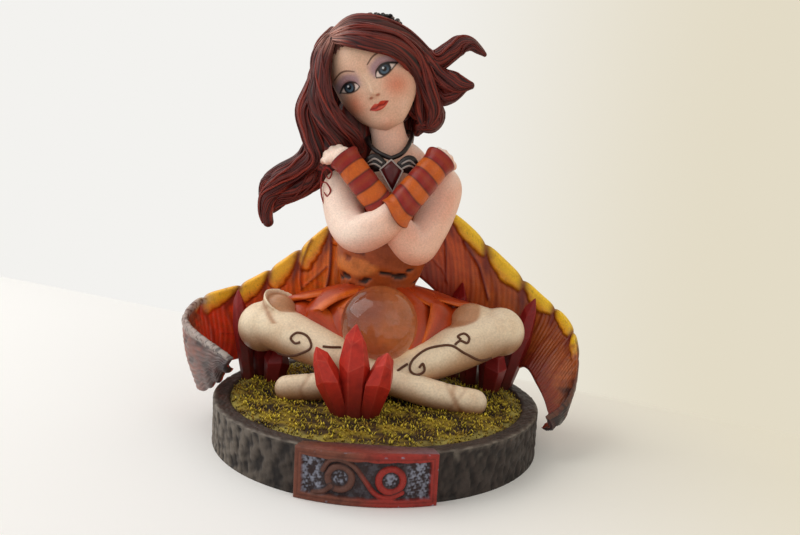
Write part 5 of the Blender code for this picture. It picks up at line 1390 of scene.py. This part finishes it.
def strandBall(centre, radius, pole, count, seed):
    # A rounded mass of hair whose strands leave the pole and run over to the other side
    turn = Vector(pole).to_track_quat("Z", "Y").to_matrix()
    rows, sides = 50, 5 * count
    points = ballGrid(centre, (1.0, 1.0, 1.0), turn, rows, sides)
    angle = (np.arange(sides) * 2 * math.pi / sides)[None, :] * np.ones((rows, 1))
    share = np.linspace(0, 1, rows)[:, None] * np.ones((1, sides))
    ridge, height, shade, bundle = strandFields(angle, share, count, seed)
    swell = 1 + (0.03 * bundle + 0.035 * (ridge * (0.7 + 0.3 * height) - 0.8)) * np.sin(share * math.pi)
    points = np.array(centre) + (points - np.array(centre)) * np.array(radius) * swell[..., None]
    return gridShell(points, strandTint(ridge, shade, bundle, points))


def buildHair():
    material = paintedMaterial("hairPaint", hairLook)
    crown = onHead(0.0, 4.0, 5.8)
    shells = [
        strandBall(crown, 15.0, partingAt - crown, 56, 91),
        strandBall(onHead(-1.0, 8.5, -6.0), (14.0, 11.0, 13.0), (-0.3, 0.0, 1.0), 44, 92),
        strandBall((-21.5, 13.0, 84.0), (8.0, 7.0, 12.0), (0.0, 0.0, 1.0), 26, 93),
        strandBall((-14.0, 13.0, 90.0), (7.0, 6.0, 14.0), (0.0, 0.0, 1.0), 20, 94),
    ]
    addObject("hairCrown", meshFromShells("hairCrown", shells), material)
    # The locks in front face away from a place behind the head, so those that fly outward don't twist
    behind = headAt + [0, 24, 0]
    for name, locks, seed, middle in (
        ("hairRight", hairLocks[:6], 100, behind), ("hairLeft", hairLocks[6:], 200, behind),
        ("hairBack", backLocks, 300, headAt),
    ):
        shells = []
        for number, lock in enumerate(locks):
            shells.append(lockShell(lock, seed + number, middle))
            shells += wispShells(lock, seed + 50 + number, middle)
        addObject(name, meshFromShells(name, shells), material)


# Dark ornament tucked into the crown
tuftLook = {
    "dark": (22, 16, 18), "speck": (196, 178, 170), "count": 26, "seed": 17,
    "wash": (12, 8, 10), "washAmount": 0.3, "gloss": (0.3, 0.5), "bump": 0.3,
}


def buildTuft():
    look = tuftLook
    rng = np.random.default_rng(look["seed"])
    shells = []
    for _ in range(look["count"]):
        x = rng.uniform(-8.6, 0.8)
        foot = np.array([x, rng.uniform(7.5, 12.5), 128.0 - 0.03 * (x + 5.0) ** 2 - 0.3 * max(x + 4.0, 0.0)])
        lean = np.array([rng.uniform(-0.6, 1.6), rng.uniform(-1.6, 0.2), rng.uniform(0.9, 1.7)])
        curl = np.array([rng.uniform(0.4, 1.4), rng.uniform(-0.8, 0.2), rng.uniform(-0.8, 0.1)])
        stations = [(*foot, 0.8, 0.6), (*(foot + lean), 0.7, 0.5), (*(foot + lean + curl), 0.25, 0.2)]
        points, _, share = sweep(stations, 10, 4)
        tip = smoothStep(0.6, 0.95, share) * rng.choice([0.0, 0.8], p=[0.6, 0.4])
        shells.append(gridShell(points, blendColor(displayColor(*look["dark"]), displayColor(*look["speck"]), tip)))
    addObject("hairTuft", meshFromShells("hairTuft", shells), paintedMaterial("tuftPaint", look))


# Necklace
jewelLook = {
    "cord": (24, 14, 16), "gem": (72, 14, 18), "gemDark": (30, 6, 10), "silver": (170, 160, 154),
    "wash": (18, 10, 12), "washAmount": 0.3, "gloss": (0.25, 0.42), "bump": 0.1, "coat": 0.15,
}


def buildNecklace():
    look = jewelLook
    cord = displayColor(*look["cord"])
    shells = []

    def add(stations, sides, perSpan, color, **more):
        points = sweep(stations, sides, perSpan, **more)[0]
        shells.append(gridShell(points, np.broadcast_to(color, points.shape)))

    add([
        (0.5, -0.3, 81.2, 0.8, 0.8), (-3.8, 1.8, 82.9, 0.8, 0.8), (-7.6, 5.8, 86.0, 0.8, 0.8),
        (-8.0, 11.0, 89.0, 0.8, 0.8), (-3.0, 16.8, 91.0, 0.8, 0.8), (3.6, 15.6, 91.6, 0.8, 0.8),
        (6.8, 10.0, 90.6, 0.8, 0.8), (6.0, 4.8, 86.4, 0.8, 0.8), (3.8, 1.2, 83.0, 0.8, 0.8),
        (0.5, -0.3, 81.2, 0.8, 0.8),
    ], 20, 10, cord)
    for side in (-1, 1):
        add([
            (0.8 + side * 3.0, 0.0, 78.6, 2.0, 1.3), (0.8 + side * 6.0, 0.2, 79.4, 3.2, 1.5),
            (0.8 + side * 8.6, 0.8, 78.4, 1.4, 1.2),
        ], 36, 10, cord)
        for lift in (1.3, -0.4):
            add([
                (0.8 + side * 3.4, -1.4, 78.2 + lift, 0.28, 0.28), (0.8 + side * 5.8, -1.6, 79.4 + lift, 0.32, 0.3),
                (0.8 + side * 8.0, -0.6, 78.6 + lift * 0.6, 0.2, 0.2),
            ], 12, 8, displayColor(*look["silver"]))
    # A cut kite-shaped stone in a thin bright edge
    corners = np.array([(0.6, -1.9, 80.6), (4.6, -2.1, 77.2), (1.6, -3.6, 70.0), (-3.0, -2.1, 77.2)])
    middle = corners.mean(axis=0) + np.array([0, 0, 0.8])
    table = middle + (corners - middle) * 0.5 + np.array([0, -1.3, 0])
    edge = corners.copy()
    back = corners + np.array([0, 2.2, 0])
    points = np.stack([back, edge, table])
    # The back of the stone is painted darker, as painted shade, and its table lighter, as a painted highlight
    gem = displayColor(*look["gem"])
    tint = np.stack([np.tile(displayColor(*look["gemDark"]), (4, 1)), np.tile(gem, (4, 1)), np.tile(gem * 1.3, (4, 1))])
    shells.append(gridShell(points, tint))
    for k in range(4):
        a, b = corners[k], corners[(k + 1) % 4]
        add([(*a, 0.3, 0.3), (*((a + b) / 2), 0.3, 0.3), (*b, 0.3, 0.3)], 12, 4, displayColor(*look["silver"]),
            out=(0.1, -1, 0.1))
    material = paintedMaterial("jewelPaint", look)
    addObject("necklace", meshFromShells("necklace", shells), material)


# Armlet
def buildArmlet():
    # A thin red scroll over the upper arm, with two curls on it
    look = gauntletLook
    shells = []
    for path in (
        [(-21.0, 4.6, 79.0), (-22.9, 4.8, 75.6), (-23.2, 4.2, 71.6), (-22.6, 2.4, 67.4), (-21.0, 1.2, 63.6)],
        [(-22.9, 4.8, 75.6), (-21.2, 2.6, 77.0), (-19.4, 1.6, 75.6), (-20.2, 1.8, 73.4), (-21.4, 2.6, 74.2)],
        [(-23.2, 4.0, 72.0), (-21.0, 1.4, 71.8), (-19.4, 0.6, 69.4), (-20.4, 0.6, 67.4), (-21.6, 1.4, 68.6)],
    ):
        share = np.linspace(0, 1, len(path))
        stations = [(*spot, wide, wide) for spot, wide in zip(path, 0.2 + 0.1 * np.sin(math.pi * share))]
        points = sweep(stations, 14, 10, out=(-0.6, -1, 0))[0]
        shells.append(gridShell(points, np.broadcast_to(displayColor(*look["red"]), points.shape)))
    material = paintedMaterial("armletPaint", look)
    addObject("armlet", meshFromShells("armlet", shells), material)


# Wings
wingLook = {
    "thickness": 1.75, "columns": 336, "rows": 56, "bow": 2.2,
    "vein": (104, 18, 14), "char": (40, 28, 32),
    "wash": (130, 34, 14), "washAmount": 0.25, "gloss": (0.3, 0.48), "bump": 0.2, "coat": 0.2,
    "blotchScale": 240.0,
}
wingShapes = {
    "leftWing": {
        "node": "left_wing", "lobes": 10, "inward": 1, "lean": 1.7, "lobeDepth": 0.2, "turnAt": 0.5,
        "lobe": (255, 190, 40), "lobeFoot": (238, 104, 26),
        "near": (250, 130, 34), "middle": (248, 96, 28), "far": (246, 68, 34), "lowShade": (200, 54, 28),
        "outerStart": (158, 78, 48), "outerEnd": (98, 78, 74), "rim": (170, 158, 150), "rimWidth": 0.13,
        "blotch": (40, 22, 24),
        "veins": [
            ([(-21.4, 55.5), (-21.0, 46.8), (-21.6, 35.4), (-24.3, 26.8)], 1.0),
            ([(-22.5, 40.6), (-27.8, 35.3), (-32.2, 31.0)], 0.6),
            ([(-28.6, 50.8), (-31.4, 43.4), (-32.6, 36.8), (-32.0, 31.1)], 0.7),
            ([(-60.9, 13.5), (-57.5, 13.3), (-53.7, 13.5)], 0.3),
        ],
        "top": [
            (-4.6, 22.0, 65.0), (-20.6, 25.5, 58.0), (-33.2, 27, 47.4), (-44.4, 27, 38.8), (-55.2, 25, 32.4),
            (-67.4, 19, 28.0), (-71.2, 11, 23.2), (-67.2, 3, 20.4), (-59.6, -5, 18.0), (-52.6, -11, 16.0),
            (-46.8, -15, 13.6),
        ],
        "low": [
            (-4.6, 24.5, 41.0), (-11, 26.5, 27), (-21, 28.5, 14), (-34, 29, 6.5), (-48, 26, 4.6),
            (-60.0, 18, 2.6), (-64.0, 10, -0.2), (-62.4, 2.5, -2.6), (-58.6, -3, -1.4), (-52.6, -9.6, 3.4),
            (-47.0, -14.4, 9.2),
        ],
    },
    "rightWing": {
        "node": "right_wing", "lobes": 9, "inward": -1, "lean": 0.7, "lobeDepth": 0.14, "turnAt": 0.6,
        "lobe": (250, 202, 34), "lobeFoot": (226, 142, 30),
        "near": (190, 74, 26), "middle": (180, 86, 32), "far": (158, 78, 34), "lowShade": (112, 28, 18),
        "outerStart": (178, 92, 42), "outerEnd": (40, 26, 26), "rim": (92, 52, 36), "rimWidth": 0.03,
        "blotch": (40, 20, 20),
        "veins": [
            ([(28.8, 53.4), (32.2, 48.6), (35.6, 43.5), (39.9, 31.4)], 0.9),
            ([(20.5, 58.6), (22.2, 50.0), (23.0, 37.9)], 0.7),
            ([(15.2, 47.7), (18.4, 44.9), (21.6, 41.6), (23.8, 36.8)], 0.4),
        ],
        "top": [
            (5.4, 22.0, 68.0), (23.5, 25.5, 64.2), (41.3, 27, 50.4), (57.4, 24, 36.6), (68.0, 16, 27.6),
            (70.0, 6, 19.4), (67.8, -3, 10.2), (62.6, -12, 4.6), (55.0, -19, 1.4),
        ],
        "low": [
            (5.4, 24.5, 44.0), (21.5, 28, 31.0), (33, 29, 12), (46, 20, 6.0), (52.8, 13, 9.4),
            (55.6, 3, 6.0), (57.4, -5, 1.8), (57.6, -11, -2.8), (54.4, -17, -3.6),
        ],
    },
}


def wingSheet(shape):
    # The middle of the wing between its two edges, bowed back and ragged near the tip
    look = wingLook
    steps = np.linspace(0, 1, look["columns"])
    edges = []
    for path in (shape["top"], shape["low"]):
        rows = spline(path, 12)
        where = steps * (len(rows) - 1)
        edges.append(np.stack([np.interp(where, np.arange(len(rows)), rows[:, k]) for k in range(3)], axis=-1))
    t = steps[:, None] * np.ones((1, look["rows"]))
    v = np.ones_like(t) * np.linspace(0, 1, look["rows"])[None, :]
    notch = 0.035 * (1 - np.abs(np.sin(math.pi * t * shape["lobes"]))) ** 3 * smoothStep(0.75, 0.6, t)
    torn = (0.12 + 0.1 * np.sin(t * 95) + 0.05 * np.sin(t * 41)) * smoothStep(0.78, 0.95, t)
    down = (notch + v * (1 - notch - torn))[..., None]
    sheet = edges[0][:, None, :] * (1 - down) + edges[1][:, None, :] * down
    normal = unit(np.cross(np.gradient(sheet, axis=0), np.gradient(sheet, axis=1))) * shape["inward"]
    sheet = sheet - normal * (look["bow"] * np.sin(math.pi * v) * t)[..., None]
    return sheet, normal, t, v


def wingVeins(sheet, shape, t):
    # Thick veins follow their own paths as the front shows them
    total = np.zeros(t.shape)
    flat = sheet[..., [0, 2]].reshape(-1, 2)
    for path, strength in shape["veins"]:
        gap, along = curveDistance(flat, spline(path, 6))
        width = 0.75 * strength * (1.15 - 0.5 * along)
        total = np.maximum(total, (strength * np.exp(-(gap / width) ** 2)).reshape(t.shape))
    return total * smoothStep(0.62, 0.52, t)


def wingFaces(sheet, shape, t, v):
    # Raised height and paint of the side that faces the figure, and of the outer side
    look = wingLook
    shade = {key: displayColor(*value) for key, value in shape.items() if key in (
        "lobe", "lobeFoot", "near", "middle", "far", "lowShade", "outerStart", "outerEnd", "rim", "blotch")}
    dark = displayColor(*look["vein"])
    char = displayColor(*look["char"])
    phase = t * shape["lobes"] - shape["lean"] * v
    inLobe = np.abs(np.sin(math.pi * phase))
    mottle = waveField(sheet, 3.0, 91)
    lobeEdge = 0.05 + shape["lobeDepth"] * inLobe ** 0.5 + 0.012 * mottle
    onLobe = smoothStep(lobeEdge + 0.02, lobeEdge - 0.02, v) * smoothStep(shape["turnAt"] + 0.1, shape["turnAt"], t)
    between = np.exp(-((phase - np.round(phase)) / 0.13) ** 2) * smoothStep(0.34, 0.2, v)
    between = between * smoothStep(shape["turnAt"] + 0.08, shape["turnAt"] - 0.02, t)
    main = wingVeins(sheet, shape, t)
    # Fine folds run down the membrane, as wood grain does
    sway = 0.5 * np.sin(5 * v + 9 * t) + 0.12 * waveField(sheet, 14.0, 93)
    folds = np.sin((t * shape["lobes"] - 0.6 * v) * 2 * math.pi * 1.5 + 3 * sway)
    fine = np.sin((t * shape["lobes"] - 0.6 * v) * 2 * math.pi * 7 + 6 * sway) * (1 - onLobe)
    fold = np.clip(folds - 0.6, 0, 1) / 0.4 * (1 - onLobe) * (1 - main)
    body = blendColor(shade["near"], shade["middle"], smoothStep(0.1, 0.32, t + 0.03 * mottle))
    body = blendColor(body, shade["far"], smoothStep(0.32, 0.52, t + 0.02 * mottle))
    body = blendColor(body, shade["lowShade"], 0.85 * smoothStep(0.45, 0.95, v + 0.06 * mottle))
    body = body * (1 + 0.1 * fine + 0.1 * np.clip(mottle, -1, 1))[..., None]
    body = blendColor(body, dark, 0.4 * fold)
    lobe = blendColor(shade["lobe"], shade["lobeFoot"], smoothStep(0.35, 1.0, v / lobeEdge) * 0.9)
    lobe = blendColor(lobe, shade["blotch"], 0.35 * smoothStep(1.1, 1.7, waveField(sheet, 1.8, 94)))
    front = blendColor(body, lobe, onLobe)
    front = blendColor(front, dark, 0.85 * between)
    under = np.exp(-((v - lobeEdge - 0.01) / 0.016) ** 2) * smoothStep(shape["turnAt"], shape["turnAt"] - 0.05, t)
    front = blendColor(front, dark, 0.6 * under)
    front = blendColor(front, dark, np.clip(1.2 * main, 0, 0.95))
    # The outer side and the turned tip are striped like bark; their lip takes the rim colour
    bark = np.sin(v * 2 * math.pi * 11 + 2.2 * waveField(sheet, 16.0, 95) + 5 * t)
    thin = np.sin(v * 2 * math.pi * 14 + 4.0 * waveField(sheet, 12.0, 96) + 9 * t)
    outer = blendColor(shade["outerStart"], shade["outerEnd"], smoothStep(shape["turnAt"], 0.88, t + 0.04 * mottle))
    outer = outer * (1 + 0.16 * bark + 0.1 * thin)[..., None]
    spots = smoothStep(0.1, 1.2, waveField(sheet, 6.0, 97)) * smoothStep(shape["turnAt"], 0.7, t)
    outer = blendColor(outer, shade["blotch"], 0.85 * spots)
    outer = blendColor(outer, char, smoothStep(0.86, 0.98, t + 0.03 * mottle) * 0.9)
    turned = smoothStep(shape["turnAt"] - 0.02, shape["turnAt"] + 0.08, t + 0.02 * mottle)
    front = blendColor(front, blendColor(outer, char, smoothStep(0.7, 0.95, t)), turned * smoothStep(0.75, 0.3, v + 0.1 * mottle))
    lip = smoothStep(shape["rimWidth"], shape["rimWidth"] * 0.6, v + 0.012 * mottle)
    lip = lip * smoothStep(shape["turnAt"] - 0.04, shape["turnAt"] + 0.03, t)
    # The rim colour on the lip is a pale grey painted sheen on the left wing and dark brown on the right
    brushedAndSheen = blendColor(shade["rim"], shade["blotch"], 0.85 * smoothStep(-0.1, 0.9, waveField(sheet, 1.6, 98)))
    front = blendColor(front, brushedAndSheen, 0.8 * lip)
    outer = blendColor(outer, brushedAndSheen, 0.8 * lip)
    frontRise = 1.1 * onLobe * np.sqrt(inLobe) + 0.8 * main + 0.07 * fine + 0.16 * fold - 0.25 * under
    outerRise = 0.14 * bark + 0.07 * thin + 0.2 * lip * (1 + 0.4 * mottle) - 0.2 * spots
    return frontRise, front, outerRise, outer


def buildWing(name, shape):
    look = wingLook
    sheet, normal, t, v = wingSheet(shape)
    frontRise, frontTint, outerRise, outerTint = wingFaces(sheet, shape, t, v)
    toRim = np.minimum(np.minimum(v, 1 - v) * look["rows"] / 2.0, np.minimum(t, 1 - t) * look["columns"] / 2.4)
    roundShare = np.sqrt(np.clip(1 - (1 - np.clip(toRim, 0, 1)) ** 2, 0, 1))
    half = look["thickness"] / 2 * (0.2 + 0.8 * roundShare)
    front = sheet + normal * (half + frontRise * roundShare)[..., None]
    back = sheet - normal * (half + outerRise * roundShare)[..., None]
    ring = np.concatenate([front, back[:, ::-1]], axis=1)
    tint = np.concatenate([frontTint, outerTint[:, ::-1]], axis=1)
    material = paintedMaterial(name + "Paint", look)
    mesh = meshFromShells(name, [gridShell(ring, tint)])
    addObject(name, mesh, material, nodes=(shape["node"],))


# Glass ball
ballLook = {"diameter": 26.0, "centre": (-0.3, -4.0, 25.6), "bubbles": 36, "seed": 12}


def glassMaterial():
    material = bpy.data.materials.new("clearGlass")
    material.use_nodes = True
    nodes, links = material.node_tree.nodes, material.node_tree.links
    shader = nodes["Principled BSDF"]
    shader.inputs["Transmission Weight"].default_value = 0.97
    shader.inputs["IOR"].default_value = 1.45
    place = nodes.new("ShaderNodeTexCoord")
    smudge = nodes.new("ShaderNodeTexNoise")
    smudge.inputs["Scale"].default_value = 140.0
    links.new(place.outputs["Object"], smudge.inputs["Vector"])
    rough = nodes.new("ShaderNodeMapRange")
    rough.inputs["From Min"].default_value = 0.5
    rough.inputs["From Max"].default_value = 0.8
    rough.inputs["To Min"].default_value = 0.0
    rough.inputs["To Max"].default_value = 0.05
    links.new(smudge.outputs["Fac"], rough.inputs["Value"])
    links.new(rough.outputs["Result"], shader.inputs["Roughness"])
    shader.inputs["Base Color"].default_value = (*displayColor(255, 232, 206), 1)
    return material


def buildBall():
    look = ballLook
    radius = look["diameter"] / 2
    centre = np.array(look["centre"])
    shells = [gridShell(ballGrid(centre, (radius,) * 3, None, 54, 100))]
    # Small bubbles in the glass: their faces point into the bubble
    rng = np.random.default_rng(look["seed"])
    for _ in range(look["bubbles"]):
        spot = centre + unit(rng.normal(size=3)) * radius * 0.8 * rng.uniform(0.1, 1) ** 0.5
        verts, quads, tris, paint = gridShell(ballGrid(spot, (rng.uniform(0.06, 0.16),) * 3, None, 7, 10))
        shells.append((verts, quads[:, ::-1], tris[:, ::-1], paint))
    addObject("glassBall", meshFromShells("glassBall", shells), glassMaterial(), ("crystal_ball",))


# Floor, light and camera
studioLook = {
    "floor": (249, 249, 248), "floorWarmShade": (246, 240, 220), "wall": (243, 242, 239), "wallWarmShade": (227, 219, 198),
    "edgeStart": (-308.0, 293.0), "edgeEnd": (159.0, 25.0), "stand": (5.5, -222.0, 82.0),
    "worldStrength": 0.6, "keyPower": 2.7, "keySize": 0.7, "fillPower": 0.5,
}


def warmShade(nodes, links, direction, low, high, cool, warm):
    # A pale tone that turns warmer and darker from left to right with the direction's x, as painted shade away from the
    # light on the left
    split = nodes.new("ShaderNodeSeparateXYZ")
    links.new(direction, split.inputs["Vector"])
    part = nodes.new("ShaderNodeMapRange")
    part.interpolation_type = "SMOOTHSTEP"
    part.inputs["From Min"].default_value = low
    part.inputs["From Max"].default_value = high
    links.new(split.outputs["X"], part.inputs["Value"])
    mix = nodes.new("ShaderNodeMix")
    mix.data_type = "RGBA"
    links.new(part.outputs["Result"], mix.inputs["Factor"])
    mix.inputs["A"].default_value = (*displayColor(*cool), 1)
    mix.inputs["B"].default_value = (*displayColor(*warm), 1)
    return mix.outputs["Result"]


def floorMaterial():
    look = studioLook
    material = bpy.data.materials.new("tableTop")
    material.use_nodes = True
    nodes, links = material.node_tree.nodes, material.node_tree.links
    shader = nodes["Principled BSDF"]
    shader.inputs["Specular IOR Level"].default_value = 0.2
    output = nodes["Material Output"]
    place = nodes.new("ShaderNodeTexCoord")
    start, end = np.array(look["edgeStart"]), np.array(look["edgeEnd"])
    along = unit(end - start)
    across = np.array([-along[1], along[0]])
    dot = nodes.new("ShaderNodeVectorMath")
    dot.operation = "DOT_PRODUCT"
    dot.inputs[1].default_value = (across[0], across[1], 0)
    links.new(place.outputs["Object"], dot.inputs[0])
    past = nodes.new("ShaderNodeMapRange")
    level = float(start @ across) * mm
    past.inputs["From Min"].default_value = level - 0.002
    past.inputs["From Max"].default_value = level + 0.002
    links.new(dot.outputs["Value"], past.inputs["Value"])
    grain = nodes.new("ShaderNodeTexNoise")
    grain.inputs["Scale"].default_value = 30.0
    links.new(place.outputs["Object"], grain.inputs["Vector"])
    rough = nodes.new("ShaderNodeMapRange")
    rough.inputs["To Min"].default_value = 0.45
    rough.inputs["To Max"].default_value = 0.65
    links.new(grain.outputs["Fac"], rough.inputs["Value"])
    links.new(rough.outputs["Result"], shader.inputs["Roughness"])
    # The table is painted warmer and darker toward the right, as painted shade
    tone = warmShade(nodes, links, place.outputs["Object"], -0.02, 0.16, look["floor"], look["floorWarmShade"])
    links.new(tone, shader.inputs["Base Color"])
    away = nodes.new("ShaderNodeVectorMath")
    away.operation = "SUBTRACT"
    links.new(place.outputs["Object"], away.inputs[0])
    away.inputs[1].default_value = Vector(look["stand"]) * mm
    aim = nodes.new("ShaderNodeVectorMath")
    aim.operation = "NORMALIZE"
    links.new(away.outputs["Vector"], aim.inputs[0])
    # Beyond the far edge the plane glows with the wall's tone, its painted shade toward the right included
    far = nodes.new("ShaderNodeEmission")
    links.new(warmShade(nodes, links, aim.outputs["Vector"], -0.1, 0.45, look["wall"], look["wallWarmShade"]), far.inputs["Color"])
    mix = nodes.new("ShaderNodeMixShader")
    links.new(past.outputs["Result"], mix.inputs["Fac"])
    links.new(shader.outputs["BSDF"], mix.inputs[1])
    links.new(far.outputs["Emission"], mix.inputs[2])
    links.new(mix.outputs["Shader"], output.inputs["Surface"])
    return material


def addLamp(name, place, target, size, power, color):
    lamp = bpy.data.lights.new(name, "AREA")
    lamp.size = size
    lamp.energy = power
    lamp.color = color
    obj = bpy.data.objects.new(name, lamp)
    obj.location = place
    obj.rotation_euler = (Vector(target) - Vector(place)).to_track_quat("-Z", "Y").to_euler()
    bpy.context.scene.collection.objects.link(obj)


def buildStudio():
    look = studioLook
    floor = bpy.data.meshes.new("tableTop")
    reach = 3.0
    floor.from_pydata([(-reach, -reach, 0), (reach, -reach, 0), (reach, reach, 0), (-reach, reach, 0)], [], [(0, 1, 2, 3)])
    table = bpy.data.objects.new("tableTop", floor)
    bpy.context.scene.collection.objects.link(table)
    floor.materials.append(floorMaterial())
    world = bpy.data.worlds.new("studioWorld")
    bpy.context.scene.world = world
    world.use_nodes = True
    nodes, links = world.node_tree.nodes, world.node_tree.links
    light = nodes["Background"]
    light.inputs["Color"].default_value = (1.0, 0.975, 0.94, 1)
    light.inputs["Strength"].default_value = look["worldStrength"]
    # Camera, glossy and transmission rays see the wall's tone, with its painted shade toward the right
    seen = nodes.new("ShaderNodeBackground")
    aim = nodes.new("ShaderNodeTexCoord").outputs["Generated"]
    links.new(warmShade(nodes, links, aim, -0.1, 0.45, look["wall"], look["wallWarmShade"]), seen.inputs["Color"])
    path = nodes.new("ShaderNodeLightPath")
    either = nodes.new("ShaderNodeMath")
    either.operation = "MAXIMUM"
    third = nodes.new("ShaderNodeMath")
    third.operation = "MAXIMUM"
    links.new(path.outputs["Is Camera Ray"], either.inputs[0])
    links.new(path.outputs["Is Glossy Ray"], either.inputs[1])
    links.new(either.outputs["Value"], third.inputs[0])
    links.new(path.outputs["Is Transmission Ray"], third.inputs[1])
    mix = nodes.new("ShaderNodeMixShader")
    links.new(third.outputs["Value"], mix.inputs["Fac"])
    links.new(light.outputs["Background"], mix.inputs[1])
    links.new(seen.outputs["Background"], mix.inputs[2])
    links.new(mix.outputs["Shader"], nodes["World Output"].inputs["Surface"])
    addLamp("keyLight", (-0.48, 0.02, 0.52), (0, 0, 0.06), look["keySize"], look["keyPower"], (1.0, 0.97, 0.93))
    addLamp("fillLight", (0.42, -0.42, 0.34), (0, 0, 0.07), 0.5, look["fillPower"], (1.0, 0.98, 0.95))


def buildCamera():
    azimuth, elevation, roll, distance = math.radians(0.5), math.radians(6.17), math.radians(3.27), 224.7
    target = Vector((5.5, 0.0, 58.11))
    back = Vector((math.sin(azimuth) * math.cos(elevation), -math.cos(azimuth) * math.cos(elevation), math.sin(elevation)))
    right = (-back).cross(Vector((0, 0, 1))).normalized()
    up = right.cross(-back)
    across = math.cos(roll) * right + math.sin(roll) * up
    upward = -math.sin(roll) * right + math.cos(roll) * up
    camera = bpy.data.cameras.new("photoCamera")
    camera.lens = 29.7
    camera.sensor_width = 36.0
    camera.clip_start = 0.01
    obj = bpy.data.objects.new("photoCamera", camera)
    turn = Matrix((across, upward, back)).transposed().to_4x4()
    obj.matrix_world = Matrix.Translation((target + distance * back) * mm) @ turn
    bpy.context.scene.collection.objects.link(obj)
    bpy.context.scene.camera = obj
    bpy.context.scene.view_settings.view_transform = "Standard"


buildBase()
turf = buildTurf()
buildBlades(turf)
buildPlaque()
buildCrystals()
buildHead()
buildSkin()
buildGauntlets()
buildCorset()
buildPetals()
buildVines(buildBoots())
buildHair()
buildTuft()
buildNecklace()
buildArmlet()
for wingName, wingShape in wingShapes.items():
    buildWing(wingName, wingShape)
buildBall()
buildStudio()
buildCamera()
